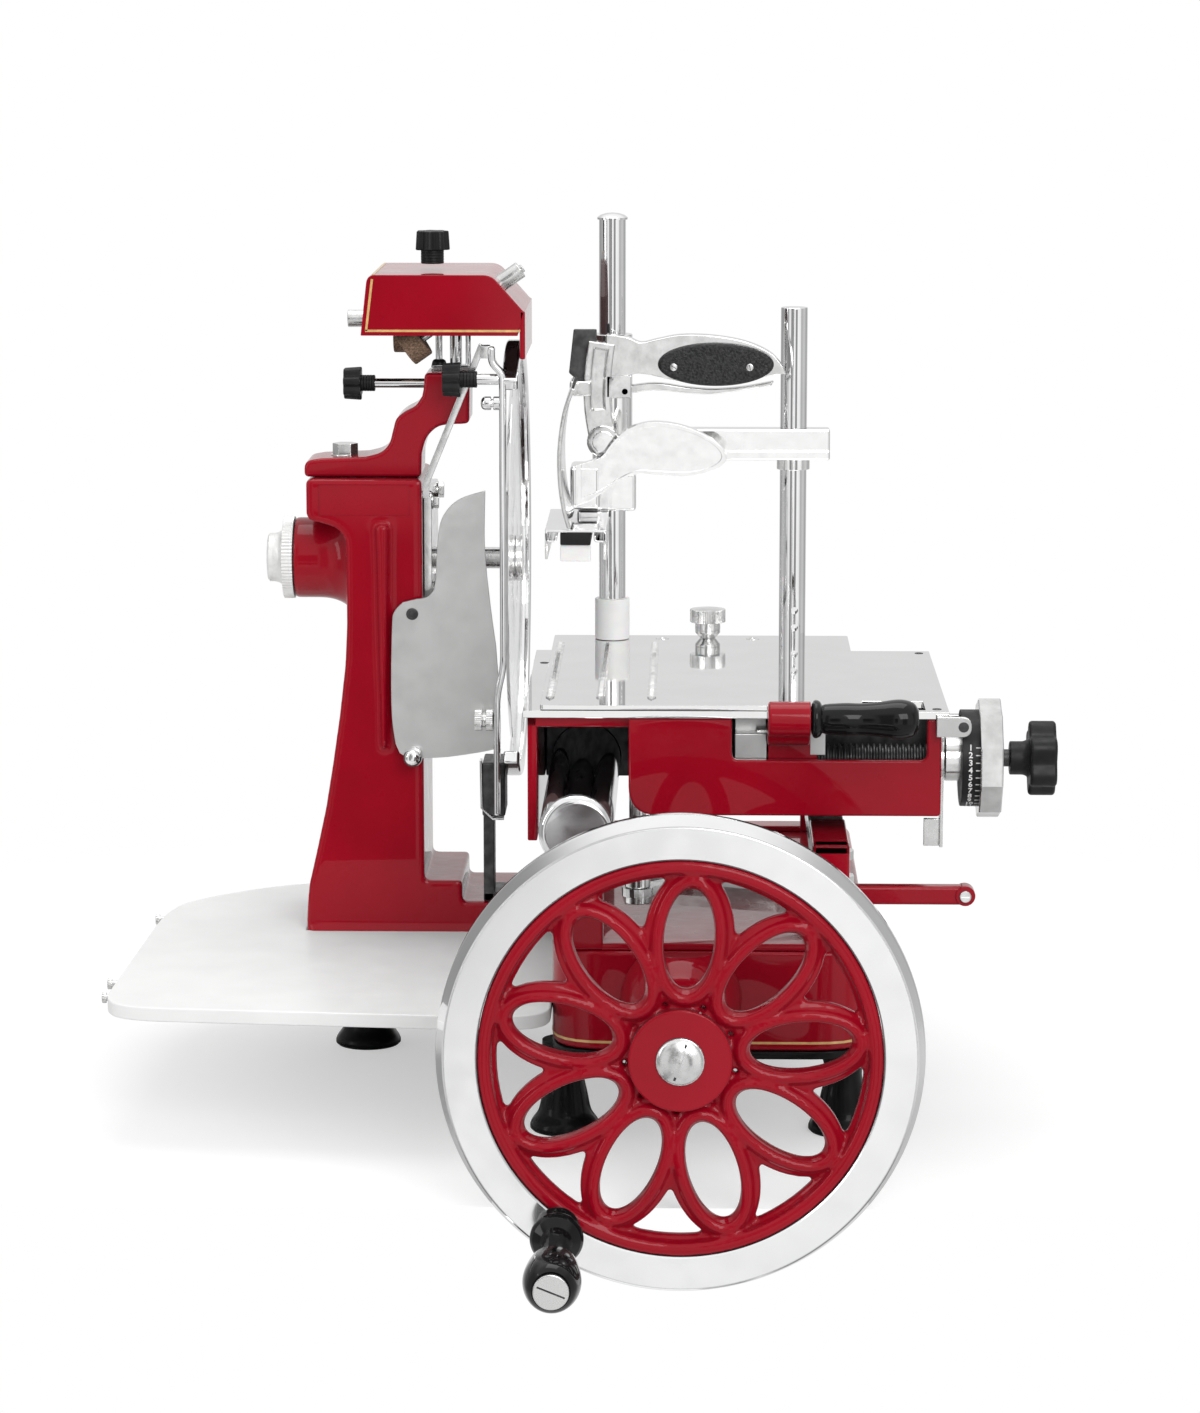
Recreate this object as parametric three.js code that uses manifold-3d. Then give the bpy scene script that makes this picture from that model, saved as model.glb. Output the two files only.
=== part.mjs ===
// Hand cranked flywheel meat slicer, millimetres, +Z up.
// X runs to the operator's right, Y runs from the flywheel towards the back.
// The origin is the middle of the front left foot's sole.
import * as THREE from 'three';
import { mergeVertices } from 'three/addons/utils/BufferGeometryUtils.js';
import Module from 'manifold-3d';

const wasm = await Module();
wasm.setup();

// Driving dimensions: general
const fit = 0.3;
const roundSteps = 24;
const smallSteps = 12;
const wall = 6;

// Driving dimensions: feet and base
const footSpacing = 196;
const footHeight = 66;
const footRadius = 25;
const footNeck = 13;
const baseOverhang = 8;
const baseRight = footSpacing + 16;
const baseFront = -60;
const baseRear = 400;
const baseCorner = 40;
const basePlateThickness = 6;
const baseHeight = 70;
const pedestalFootX = -157;

// Driving dimensions: flywheel and crank
const wheelX = 81.8;
const wheelZ = 107.8;
const wheelFront = -225;
const rimDepth = 22;
const rimRadius = 160.4;
const rimFaceRadius = 154.7;
const rimTaper = 14;
const rimBore = 132.9;
const webRimWidth = 9;
const hubRadius = 34;
const hubProud = 2;
const petalCount = 9;
const petalFirst = 4;
const petalCentre = 79;
const petalHalfWidth = 16.5;
const petalHalfLength = 35.7;
const petalBead = 8;
const petalFlangeWidth = 14;
const petalFlangeDepth = 11;
const hubNutRadius = 15.7;
const hubNutDome = 5;
const shaftRadius = 10;
const shaftTail = 7;
const crankRadius = 138.2;
const crankAngle = 215.2;
const crankStud = 5;
const gripLength = 136;
const gripBulb = 18.5;
const gripCollar = 17.5;
const gripWaist = 9.5;
const gripDisc = 11.4;

// Driving dimensions: drive train
const throwX = wheelX;
const throwY = 170;
const throwRadius = 120;
const crossY = 240;
const gearFace = 9;
const pinionTeeth = 14;
const crownTeeth = 28;
const crownRadius = 30;
const driveTeeth = 24;
const crossTeeth = 12;
const driveRadius = 26;
const crossRadius = 6;
const chainPitch = 8;
const lowerSprocketTeeth = 24;
const upperSprocketTeeth = 12;
const chainX = -140;
const chainWidth = 10;
const chainRise = 4;
const armThickness = 8;
const armGap = 6;
const throwPin = 6;
const pinRise = 7;
const rodThickness = 6;
const rodWidth = 14;
const lugX = 51;
const lugY = 0;
const throwAngle = 20;

// Driving dimensions: column and blade
const columnFront = 185;
const columnRear = 295;
const columnRight = -110;
const columnLeft = -166;
const columnFootLeft = -198;
const riserLedge = 12;
const columnHeadLeft = -195;
const columnTop = 438;
const columnHead = 30;
const tunnelTop = 122;
const stepTop = 138;
const stepRight = -82;
const bladeX = -44;
const bladeZ = 373;
const bladeRadius = 150;
const bladeThickness = 3.4;
const bladeHub = 42;
const bladeShaft = 8;
const bossRadius = 30;
const bossEnd = -208;
const ribWidth = 12;
const ribDepth = 6;
const flangeThickness = 6;
const guardWidth = 10;
const guardThickness = 12;
const guardSweep = 240;
const guardGap = 2.5;
const guardInner = bladeRadius + guardGap;
const guardOuter = guardInner + guardWidth;
const guardTop = bladeZ + guardOuter;

// Driving dimensions: receiving board
const boardThickness = 10;
const boardLeft = -323;
const boardFront = -79;
const boardRear = 358;

// Driving dimensions: sharpener
const armWidth = 48;
const armFront = 196;
const armLedge = 15;
const headFront = 175;
const headDepth = 130;
const headClearance = 8.5;
const headBottom = guardTop + headClearance;
const headWall = 4;
const headDrop = 44;
const headTop = headBottom + headDrop;
const headLeft = -153;
const headRight = -34;
const headLip = 17;
const armHead = headBottom - 29;
const stoneRadius = 12;
const stoneThickness = 10;
const stoneTilt = 35;
const pushRadius = 6.5;
const knobRadius = 13;
const knobLength = 14;
const knobLobes = 7;

// Driving dimensions: slide ways
const tubeX = 11.5;
const tubeZ = 239;
const tubeRadius = 25;
const tubeWall = 4;
const tubeFront = -125;
const capVent = 5;
const railX = 183.5;
const railWidth = 25;
const railTop = 212;
const railThickness = 16;
const railFront = -60;
const railBlockLength = 93;
const rollerRadius = 10;
const rollerY = 170;

// Driving dimensions: carriage and table
const tableTop = 308;
const upperThickness = 3.3;
const upperLeft = -16;
const upperRight = 206;
const upperRear = 284;
const lowerThickness = 5;
const lowerLeft = -28;
const lowerRight = 265;
const lowerRear = 234;
const tableFront = -29;
const panelLeft = 45;
const panelRight = 260;
const panelBottom = 236;
const windowLeft = 116;
const windowRight = 250;
const windowBottom = 270;
const screwY = -5;
const screwZ = 268;
const screwRadius = 9.5;
const tableTravel = 40;
const nutWidth = 22;
const leverWidth = 29;
const leverPivotY = -12;
const leverPivotZ = 287;
const gripY = -52;
const gripZ = 303;
const leverGripLength = 74;
const leverGripRadius = 13.7;

// Driving dimensions: thickness dial
const drumRadius = 25;
const drumLength = 12;
const dialRadius = 41.7;
const dialLength = 16;
const dialLobes = 10;
const starRadius = 26;
const starLength = 19;

// Driving dimensions: posts and press
const postRadius = 10;
const leftPostX = 28;
const rightPostX = 163.5;
const postY = 268;
const leftPostTop = 628;
const rightPostTop = 558;
const sleeveRadius = 13;
const sleeveTop = 339;
const pressBottom = 408;
const pressTop = 538;
const pressSleeve = 15;
const crossArmZ = 453;
const crossArmHeight = 16;
const pivotX = 22;
const pivotZ = 462;
const pivotRadius = 5;
const pressDepth = 130;

// Places worked out from the driving dimensions
const baseBottom = footHeight + basePlateThickness;
const baseTop = baseBottom + baseHeight;
const armTop = footHeight + 24;
const wheelBack = wheelFront + rimDepth;
const bladeY = crossY;
const crossZ = wheelZ;
const lowerTop = tableTop - upperThickness - fit;
const lowerBottom = lowerTop - lowerThickness;
const castTop = lowerBottom - fit;
const drumLeft = panelRight + wall + 8;

// Finishes
const finishes = {
  red: { color: 0x9c0f20, roughness: 0.2, metalness: 0.1 },
  black: { color: 0x0b0b0c, roughness: 0.25, metalness: 0.0 },
  rubber: { color: 0x141415, roughness: 0.6, metalness: 0.0 },
  chrome: { color: 0xd9dbdd, roughness: 0.08, metalness: 1.0 },
  satin: { color: 0xb5b7b9, roughness: 0.35, metalness: 1.0 },
  steel: { color: 0x9a9c9e, roughness: 0.3, metalness: 1.0 },
  white: { color: 0xf0f1f2, roughness: 0.4, metalness: 0.0 },
  ivory: { color: 0xeceef0, roughness: 0.25, metalness: 0.6 },
  stone: { color: 0x7d6353, roughness: 0.95, metalness: 0.0 },
};

// Solid and geometry conversions
function solidOf(geometry) {
  const plain = geometry.clone();
  plain.deleteAttribute('normal');
  plain.deleteAttribute('uv');
  const merged = mergeVertices(plain, 1e-4);
  return new wasm.Manifold(new wasm.Mesh({
    numProp: 3,
    vertProperties: new Float32Array(merged.attributes.position.array),
    triVerts: new Uint32Array(merged.index.array),
  }));
}

function geometryOf(solid) {
  const mesh = solid.getMesh();
  const geometry = new THREE.BufferGeometry();
  geometry.setAttribute('position', new THREE.BufferAttribute(mesh.vertProperties, 3));
  geometry.setIndex(new THREE.BufferAttribute(mesh.triVerts, 1));
  geometry.computeVertexNormals();
  return geometry;
}

function join(first, ...others) {
  return geometryOf(others.reduce((sum, other) => sum.add(solidOf(other)), solidOf(first)));
}

function cut(body, ...tools) {
  return geometryOf(tools.reduce((rest, tool) => rest.subtract(solidOf(tool)), solidOf(body)));
}

function common(body, tool) {
  return geometryOf(solidOf(body).intersect(solidOf(tool)));
}

// Basic bodies
function block(x0, x1, y0, y1, z0, z1) {
  const geometry = new THREE.BoxGeometry(x1 - x0, y1 - y0, z1 - z0);
  return geometry.translate((x0 + x1) / 2, (y0 + y1) / 2, (z0 + z1) / 2);
}

function place(geometry, x, y, z) {
  return geometry.translate(x, y, z);
}

function turnTo(geometry, axis) {
  if (axis === 'z') {
    geometry.rotateX(Math.PI / 2);
  }
  if (axis === 'x') {
    geometry.rotateZ(-Math.PI / 2);
  }
  return geometry;
}

// A body turned about an axis; the profile's points are radius and station, stations rising
function turned(profile, axis, steps = roundSteps) {
  const points = profile.map(([radius, station]) => new THREE.Vector2(radius, station));
  return turnTo(new THREE.LatheGeometry(points, steps), axis);
}

function bar(radius, from, to, axis, steps = roundSteps) {
  return turned([[0, from], [radius, from], [radius, to], [0, to]], axis, steps);
}

function pipe(outer, inner, from, to, axis, steps = roundSteps) {
  const profile = [[inner, from], [outer, from], [outer, to], [inner, to], [inner, from]];
  return turned(profile, axis, steps);
}

function outline(points) {
  return new THREE.Shape(points.map(([u, v]) => new THREE.Vector2(u, v)));
}

function extruded(shape, depth, curveSegments) {
  return new THREE.ExtrudeGeometry(shape, { depth, bevelEnabled: false, curveSegments });
}

function alongX(shape, x0, x1, curveSegments = 4) {
  const geometry = extruded(shape, x1 - x0, curveSegments);
  const turn = new THREE.Matrix4().makeBasis(
    new THREE.Vector3(0, 1, 0),
    new THREE.Vector3(0, 0, 1),
    new THREE.Vector3(1, 0, 0),
  );
  return geometry.applyMatrix4(turn).translate(x0, 0, 0);
}

function alongY(shape, y0, y1, curveSegments = 4) {
  return extruded(shape, y1 - y0, curveSegments).rotateX(Math.PI / 2).translate(0, y1, 0);
}

function alongZ(shape, z0, z1, curveSegments = 4) {
  return extruded(shape, z1 - z0, curveSegments).translate(0, 0, z0);
}

function roundedRect(x0, x1, y0, y1, radius) {
  const shape = new THREE.Shape();
  shape.moveTo(x0 + radius, y0);
  shape.lineTo(x1 - radius, y0);
  shape.absarc(x1 - radius, y0 + radius, radius, -Math.PI / 2, 0);
  shape.lineTo(x1, y1 - radius);
  shape.absarc(x1 - radius, y1 - radius, radius, 0, Math.PI / 2);
  shape.lineTo(x0 + radius, y1);
  shape.absarc(x0 + radius, y1 - radius, radius, Math.PI / 2, Math.PI);
  shape.lineTo(x0, y0 + radius);
  shape.absarc(x0 + radius, y0 + radius, radius, Math.PI, 1.5 * Math.PI);
  return shape;
}

// A flat strip of even width that follows a line of points
function ribbon(points, width) {
  const line = points.map(([u, v]) => new THREE.Vector2(u, v));
  const left = [];
  const right = [];
  line.forEach((point, index) => {
    const before = line[Math.max(index - 1, 0)];
    const after = line[Math.min(index + 1, line.length - 1)];
    const along = after.clone().sub(before).normalize();
    const side = new THREE.Vector2(-along.y, along.x).multiplyScalar(width / 2);
    left.push(point.clone().add(side));
    right.unshift(point.clone().sub(side));
  });
  return new THREE.Shape([...right, ...left]);
}

// A lobed outline, such as a hand knob's or a scalloped ring's
function lobed(radius, lobes, depth, stepsPerLobe = 4) {
  const points = [];
  const count = lobes * stepsPerLobe;
  for (let index = 0; index < count; index += 1) {
    const angle = (index / count) * 2 * Math.PI;
    const reach = radius - depth * (0.5 - 0.5 * Math.cos(lobes * angle));
    points.push([reach * Math.cos(angle), reach * Math.sin(angle)]);
  }
  return outline(points);
}

const degrees = Math.PI / 180;

// Scene graph
const slicer = new THREE.Group();

function piece(name, geometry, finish, x = 0, y = 0, z = 0) {
  const mesh = new THREE.Mesh(geometry, new THREE.MeshStandardMaterial(finishes[finish]));
  mesh.name = name;
  mesh.position.set(x, y, z);
  slicer.add(mesh);
  return mesh;
}

// Feet
function foot() {
  const collar = footNeck + 3;
  const top = footHeight - fit;
  return turned([
    [0, 0],
    [footRadius, 0],
    [footRadius, 5],
    [footRadius - 5, 13],
    [footNeck + 1, 32],
    [footNeck, 48],
    [collar, 56],
    [collar, top],
    [0, top],
  ], 'z', 18);
}

const rearFootY = 360;
piece('front_left_foot', foot(), 'black', 0, 0, 0);
piece('front_right_foot', foot(), 'black', footSpacing, 0, 0);
piece('rear_left_foot', foot(), 'black', pedestalFootX, crossY, 0);
piece('rear_right_foot', foot(), 'black', footSpacing - 20, rearFootY, 0);

// Base plate with the arm that carries the column
const chainRoom = chainRise + 3;
const lowerPitchRadius = chainPitch / (2 * Math.sin(Math.PI / lowerSprocketTeeth));
const upperPitchRadius = chainPitch / (2 * Math.sin(Math.PI / upperSprocketTeeth));

function basePlate() {
  const main = alongZ(
    roundedRect(-baseOverhang, baseRight, baseFront, baseRear, baseCorner),
    footHeight,
    baseBottom - fit,
  );
  const arm = block(columnFootLeft, -baseOverhang + baseCorner, columnFront, columnRear,
    footHeight, baseBottom - fit);
  const riser = block(columnFootLeft, -baseOverhang - fit, columnFront - riserLedge,
    columnRear + riserLedge, footHeight, armTop);
  const pocket = block(
    chainX - chainWidth / 2 - 3,
    chainX + chainWidth / 2 + 3,
    crossY - lowerPitchRadius - chainRoom,
    crossY + lowerPitchRadius + chainRoom,
    footHeight + 3,
    armTop + 1,
  );
  return cut(join(main, arm, riser), pocket);
}

piece('base_plate', basePlate(), 'black');

// Base housing, an open shell over the gears
function baseHousing() {
  const outer = alongZ(
    roundedRect(-baseOverhang, baseRight, baseFront, baseRear, baseCorner),
    baseBottom,
    baseTop,
  );
  const inner = alongZ(
    roundedRect(-baseOverhang + wall, baseRight - wall, baseFront + wall, baseRear - wall,
      baseCorner - wall),
    baseBottom - 1,
    baseTop - wall,
  );
  const frontHole = place(bar(shaftRadius + 1, baseFront - 1, baseFront + wall + 1, 'y'),
    wheelX, 0, wheelZ);
  const topHole = place(bar(bladeShaft + fit, baseTop - wall - 1, baseTop + 1, 'z', 18),
    throwX, throwY, 0);
  const sideHole = place(bar(crossRadius + fit, -baseOverhang - 1, -baseOverhang + wall + 1, 'x', 24),
    0, crossY, crossZ);
  return cut(outer, inner, frontHole, topHole, sideHole);
}

piece('base_housing', baseHousing(), 'red');

// Front bearing of the flywheel shaft, a dome and a nose
function flywheelBearing() {
  const seat = baseFront - fit;
  const nose = wheelBack + 4;
  const dome = 42;
  const barrel = 21;
  const bore = shaftRadius + fit;
  return turned([
    [bore, nose],
    [barrel, nose],
    [barrel, seat - 34],
    [barrel + 9, seat - 26],
    [dome - 3, seat - 12],
    [dome, seat],
    [bore, seat],
    [bore, nose],
  ], 'y');
}

const bearingRoom = 29.3;
const bearing = common(
  flywheelBearing(),
  block(-60, 60, wheelFront, baseFront, -bearingRoom - 10, baseTop - wheelZ),
);
piece('flywheel_bearing', bearing, 'red', wheelX, 0, wheelZ);

// Flywheel: a cast web of petals in a turned rim
function petal(halfWidth, halfLength, y0, y1, segments) {
  const shape = new THREE.Shape();
  shape.absellipse(0, petalCentre, halfWidth, halfLength, 0, 2 * Math.PI);
  return alongY(shape, y0, y1, segments);
}

function eachPetal(make) {
  return Array.from({ length: petalCount }, (unused, index) => {
    const turn = (petalFirst + (360 / petalCount) * index) * degrees;
    return make().rotateY(turn);
  });
}

const crankX = crankRadius * Math.sin(crankAngle * degrees);
const crankZ = crankRadius * Math.cos(crankAngle * degrees);

function flywheelWeb() {
  const middle = wheelFront + rimDepth / 2;
  const flangeFront = middle - petalFlangeDepth / 2;
  const flangeBack = middle + petalFlangeDepth / 2;
  const rimRing = pipe(rimBore - fit, rimBore - webRimWidth, wheelFront, wheelBack, 'y', 54);
  const flanges = eachPetal(() => petal(
    petalHalfWidth + petalFlangeWidth,
    petalHalfLength + petalFlangeWidth - 4,
    flangeFront,
    flangeBack,
    6,
  ));
  const beads = eachPetal(() => petal(
    petalHalfWidth + petalBead,
    petalHalfLength + petalBead,
    wheelFront + 1,
    wheelBack - 1,
    8,
  ));
  const openings = eachPetal(() => petal(
    petalHalfWidth,
    petalHalfLength,
    wheelFront - 5,
    wheelBack + 5,
    8,
  ));
  const hub = turned([
    [0, wheelFront - hubProud],
    [hubRadius - 3, wheelFront - hubProud],
    [hubRadius, wheelFront + 1],
    [hubRadius, wheelBack],
    [0, wheelBack],
  ], 'y', 36);
  const trimmed = common(
    join(flanges[0], ...flanges.slice(1), ...beads),
    bar(rimBore - webRimWidth / 2, wheelFront, wheelBack, 'y', 54),
  );
  const whole = join(rimRing, trimmed, hub);
  const bore = bar(shaftRadius + fit, wheelFront - 10, wheelBack + 10, 'y');
  return cut(whole, ...openings, bore);
}

const gripBack = wheelFront - fit;
const gripFront = gripBack - gripLength;

// The rim carries the stud on which the crank grip turns
function flywheelRim() {
  const ring = turned([
    [rimBore, wheelFront],
    [rimFaceRadius, wheelFront],
    [rimRadius, wheelFront + rimTaper],
    [rimRadius, wheelBack],
    [rimBore, wheelBack],
    [rimBore, wheelFront],
  ], 'y', 54);
  const stud = turned([
    [0, gripFront - fit - 3],
    [gripDisc, gripFront - fit - 3],
    [gripDisc, gripFront - fit],
    [crankStud, gripFront - fit],
    [crankStud, wheelFront + 2],
    [0, wheelFront + 2],
  ], 'y', smallSteps);
  return join(ring, place(stud, crankX, 0, crankZ));
}

piece('flywheel_web', flywheelWeb(), 'red', wheelX, 0, wheelZ);
piece('flywheel_rim', flywheelRim(), 'ivory', wheelX, 0, wheelZ);

const hubFace = wheelFront - hubProud;
const hubNut = turned([
  [0, hubFace - hubNutDome - 1],
  [hubNutRadius * 0.6, hubFace - hubNutDome + 0.5],
  [hubNutRadius, hubFace - 2],
  [hubNutRadius, hubFace - fit],
  [0, hubFace - fit],
], 'y', 24);

const shaftStep = baseFront + wall + 4;
const shaftEnd = crossY - driveRadius * (crossTeeth / driveTeeth) + 2;
const flywheelShaft = turned([
  [0, hubFace - 1],
  [shaftRadius, hubFace - 1],
  [shaftRadius, shaftStep],
  [shaftTail, shaftStep],
  [shaftTail, shaftEnd],
  [0, shaftEnd],
], 'y', 24);

// Crank grip on its stud
const crankGrip = turned([
  [crankStud + fit, gripFront],
  [gripDisc, gripFront],
  [gripBulb - 2, gripFront + 8],
  [gripBulb, gripFront + 24],
  [gripBulb - 3, gripFront + 46],
  [gripWaist + 2, gripFront + 72],
  [gripWaist, gripFront + 90],
  [gripWaist + 1, gripFront + 102],
  [gripCollar, gripFront + 108],
  [gripCollar, gripFront + 114],
  [gripWaist + 2, gripFront + 120],
  [gripCollar - 5, gripBack - 6],
  [gripCollar - 3, gripBack],
  [crankStud + fit, gripBack],
  [crankStud + fit, gripFront],
], 'y', 20);
piece('crank_grip', crankGrip, 'black', wheelX + crankX, 0, wheelZ + crankZ);

// Straight bevel gear: apex at the origin, axis along +Z, teeth in the phase given
function bevelGear(teeth, mateTeeth, pitchRadius, bore, phase) {
  const cone = Math.atan2(teeth, mateTeeth);
  const reach = pitchRadius / Math.sin(cone);
  const step = (2 * Math.PI) / teeth;
  const moduleAngle = (2 * pitchRadius) / teeth / reach;
  const tipCone = cone + 0.72 * moduleAngle;
  const rootCone = cone - 0.98 * moduleAngle;
  const halfPitch = 0.2 * step;
  const lean = 0.36;
  const halfTip = halfPitch - (0.72 * moduleAngle * lean) / Math.sin(cone);
  const halfRoot = halfPitch + (0.98 * moduleAngle * lean) / Math.sin(cone);
  const ring = [];
  for (let index = 0; index < teeth; index += 1) {
    const centre = phase + index * step;
    ring.push([rootCone, centre - halfRoot]);
    ring.push([tipCone, centre - halfTip]);
    ring.push([tipCone, centre + halfTip]);
    ring.push([rootCone, centre + halfRoot]);
  }
  const positions = [];
  const addRing = (radius) => ring.forEach(([angle, turn]) => positions.push(
    radius * Math.sin(angle) * Math.cos(turn),
    radius * Math.sin(angle) * Math.sin(turn),
    radius * Math.cos(angle),
  ));
  addRing(reach - gearFace);
  addRing(reach);
  const count = ring.length;
  const frontCentre = positions.length / 3;
  positions.push(0, 0, (reach - gearFace) * Math.cos(rootCone) - 0.5);
  const backCentre = frontCentre + 1;
  positions.push(0, 0, reach * Math.cos(rootCone) + 5);
  const faces = [];
  for (let index = 0; index < count; index += 1) {
    const next = (index + 1) % count;
    faces.push(index, next, count + next, index, count + next, count + index);
    faces.push(next, index, frontCentre);
    faces.push(count + index, count + next, backCentre);
  }
  const geometry = new THREE.BufferGeometry();
  geometry.setAttribute('position', new THREE.BufferAttribute(new Float32Array(positions), 3));
  geometry.setIndex(faces);
  return cut(geometry, bar(bore, -reach, 3 * reach, 'z', smallSteps));
}

function facing(geometry, direction) {
  const turn = new THREE.Quaternion().setFromUnitVectors(
    new THREE.Vector3(0, 0, 1),
    new THREE.Vector3(...direction),
  );
  return geometry.applyQuaternion(turn);
}

const shaftPinion = facing(
  bevelGear(pinionTeeth, crownTeeth, crownRadius * (pinionTeeth / crownTeeth), shaftTail - 1,
    Math.PI / 2),
  [0, -1, 0],
);
piece('flywheel_shaft', join(flywheelShaft, hubNut, place(shaftPinion, 0, throwY, 0)), 'steel',
  wheelX, 0, wheelZ);

const crownGear = bevelGear(crownTeeth, pinionTeeth, crownRadius, bladeShaft - 1,
  -Math.PI / 2 + Math.PI / crownTeeth);
piece('crown_gear', crownGear, 'steel', throwX, throwY, wheelZ);

const drivePhase = Math.PI / driveTeeth;
const driveGear = facing(
  bevelGear(driveTeeth, crossTeeth, driveRadius, shaftTail + fit, Math.PI + drivePhase),
  [0, -1, 0],
);
piece('drive_gear', driveGear, 'steel', wheelX, crossY, wheelZ);

const crossPinion = facing(
  bevelGear(crossTeeth, driveTeeth, driveRadius * (crossTeeth / driveTeeth), crossRadius - 1, 0),
  [-1, 0, 0],
);

// Crank shaft, crank arm and its pin
const crankArmBottom = baseTop + armGap;
const crankArmTop = crankArmBottom + armThickness;
const pinTop = crankArmTop + pinRise;
const crownHeight = crownRadius * (pinionTeeth / crownTeeth);
const crownShaftBottom = wheelZ + crownHeight - 1;
const throwDx = throwRadius * Math.cos(throwAngle * degrees);
const throwDy = -throwRadius * Math.sin(throwAngle * degrees);

const crankShaft = turned([
  [0, crownShaftBottom],
  [bladeShaft - 1 - fit, crownShaftBottom],
  [bladeShaft - 1 - fit, baseTop - wall - 0.5],
  [bladeShaft, baseTop - wall - 0.5],
  [bladeShaft, crankArmBottom + 1],
  [0, crankArmBottom + 1],
], 'z', 18);

function crankArm() {
  const hub = 20;
  const tip = 13;
  const tail = 34;
  const shape = outline([
    [0, -hub],
    [throwRadius, -tip],
    [throwRadius + tip * 0.7, -tip * 0.7],
    [throwRadius + tip, 0],
    [throwRadius + tip * 0.7, tip * 0.7],
    [throwRadius, tip],
    [0, hub],
    [-tail, hub + 10],
    [-tail - 14, 0],
    [-tail, -hub - 10],
  ]);
  const plate = alongZ(shape, 0, armThickness);
  const pin = place(bar(throwPin, armThickness - 1, armThickness + pinRise, 'z', smallSteps),
    throwRadius, 0, 0);
  return join(plate, pin).rotateZ(-throwAngle * degrees);
}

piece('crank_arm', join(crankShaft, place(crankArm(), 0, 0, crankArmBottom)), 'steel', throwX, throwY, 0);

// Cross shaft with the lower sprocket
const crossLeft = chainX - 16;
const crossRight = wheelX - driveRadius + 8;
const crossBar = bar(crossRadius, crossLeft, crossRight, 'x', smallSteps);

function sprocket(teeth, pitchRadius, bore) {
  const tip = pitchRadius - 3 - fit;
  const shape = lobed(tip, teeth, 2, 3);
  const plate = alongX(shape, -3, 3);
  return cut(plate, bar(bore, -10, 10, 'x', smallSteps));
}

const lowerSprocket = sprocket(lowerSprocketTeeth, lowerPitchRadius, crossRadius - 1);
const upperSprocket = sprocket(upperSprocketTeeth, upperPitchRadius, bladeShaft - 1);
piece('cross_shaft', join(crossBar, place(crossPinion, wheelX, 0, 0), place(lowerSprocket, chainX, 0, 0)),
  'steel', 0, crossY, crossZ);

// Drive chain as one closed band round both sprockets
function chainLoop(offset) {
  const low = lowerPitchRadius + offset;
  const high = upperPitchRadius + offset;
  const span = bladeZ - crossZ;
  const slope = Math.asin((low - high) / span);
  const shape = new THREE.Shape();
  shape.absarc(crossY, crossZ, low, Math.PI - slope, 2 * Math.PI + slope);
  shape.absarc(bladeY, bladeZ, high, slope, Math.PI - slope);
  return shape;
}

const chain = cut(
  alongX(chainLoop(chainRise), -chainWidth / 2, chainWidth / 2, 8),
  alongX(chainLoop(-3), -chainWidth, chainWidth, 8),
);
piece('drive_chain', chain, 'steel', chainX, 0, 0);

// Column casting with its bearing boss and its foot over the cross shaft
const columnBottom = armTop + fit;
const columnMouth = -baseOverhang - fit;

function columnOutline() {
  const shape = outline([
    [columnMouth, columnBottom],
    [columnMouth, tunnelTop],
    [stepRight, tunnelTop],
    [stepRight, stepTop],
    [columnRight, stepTop],
    [columnRight, columnTop],
    [columnHeadLeft, columnTop],
    [columnHeadLeft, columnTop - columnHead],
    [columnLeft, columnTop - columnHead - 6],
    [columnLeft, 318],
    [-171, 273],
    [-177, 229],
    [-182, 199],
    [-192, 161],
    [columnFootLeft + 1, 138],
    [columnFootLeft, columnBottom],
  ]);
  return shape;
}

function column() {
  const body = alongY(columnOutline(), columnFront, columnRear);
  const boss = place(bar(bossRadius, bossEnd, columnLeft + 12, 'x'), 0, bladeY, bladeZ);
  const rib = alongY(ribbon([[-139, 423], [-140, 250]], ribWidth), columnFront - ribDepth,
    columnFront + 1);
  const cavity = block(columnLeft + wall, columnRight - wall, columnFront + wall + 2,
    columnRear - wall - 2, columnBottom - 1, columnTop - columnHead - 6);
  const tunnel = block(columnRight - wall - 1, columnMouth + 1, crossY - 20, crossY + 20,
    columnBottom - 1, tunnelTop - wall);
  const shaftBore = place(bar(bladeShaft + fit, bossEnd - 1, columnRight + 1, 'x'), 0, bladeY, bladeZ);
  return cut(join(body, boss, rib), cavity, tunnel, shaftBore);
}

piece('column', column(), 'red');

const ringSeat = bossEnd - fit;
const bearingRing = turned([
  [0, ringSeat - 8],
  [bossRadius + 0.6, ringSeat - 8],
  [bossRadius + 0.6, ringSeat],
  [0, ringSeat],
], 'x');

const capSeat = ringSeat - 7;
const bearingCap = turned([
  [0, capSeat - 13],
  [17, capSeat - 13],
  [18, capSeat - 12],
  [18, capSeat - 7],
  [21, capSeat - 3],
  [27, capSeat],
  [0, capSeat],
], 'x', 24);
piece('blade_bearing', join(bearingRing, bearingCap), 'satin', 0, bladeY, bladeZ);

// Steel flange on the column's blade side, with its bolts
const flangeSeat = columnRight + fit;
const flangeFace = flangeSeat + flangeThickness;
const flangePlate = cut(
  block(flangeSeat, flangeFace, bladeY - 40, bladeY + 40, 346, 428),
  place(bar(bladeShaft + fit, flangeSeat - 1, flangeFace + 1, 'x', 24), 0, bladeY, bladeZ),
);

const boltSpots = [[-32, 420], [32, 420], [-32, 354], [32, 354]];

function hexHead(radius, from, to, axis) {
  return bar(radius, from, to, axis, 6);
}

const flangeBolts = boltSpots.map(([dy, z]) => place(
  hexHead(6, flangeFace - 1, flangeFace + 5, 'x'), 0, bladeY + dy, z));
piece('flange_plate', join(flangePlate, ...flangeBolts), 'satin');

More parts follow.
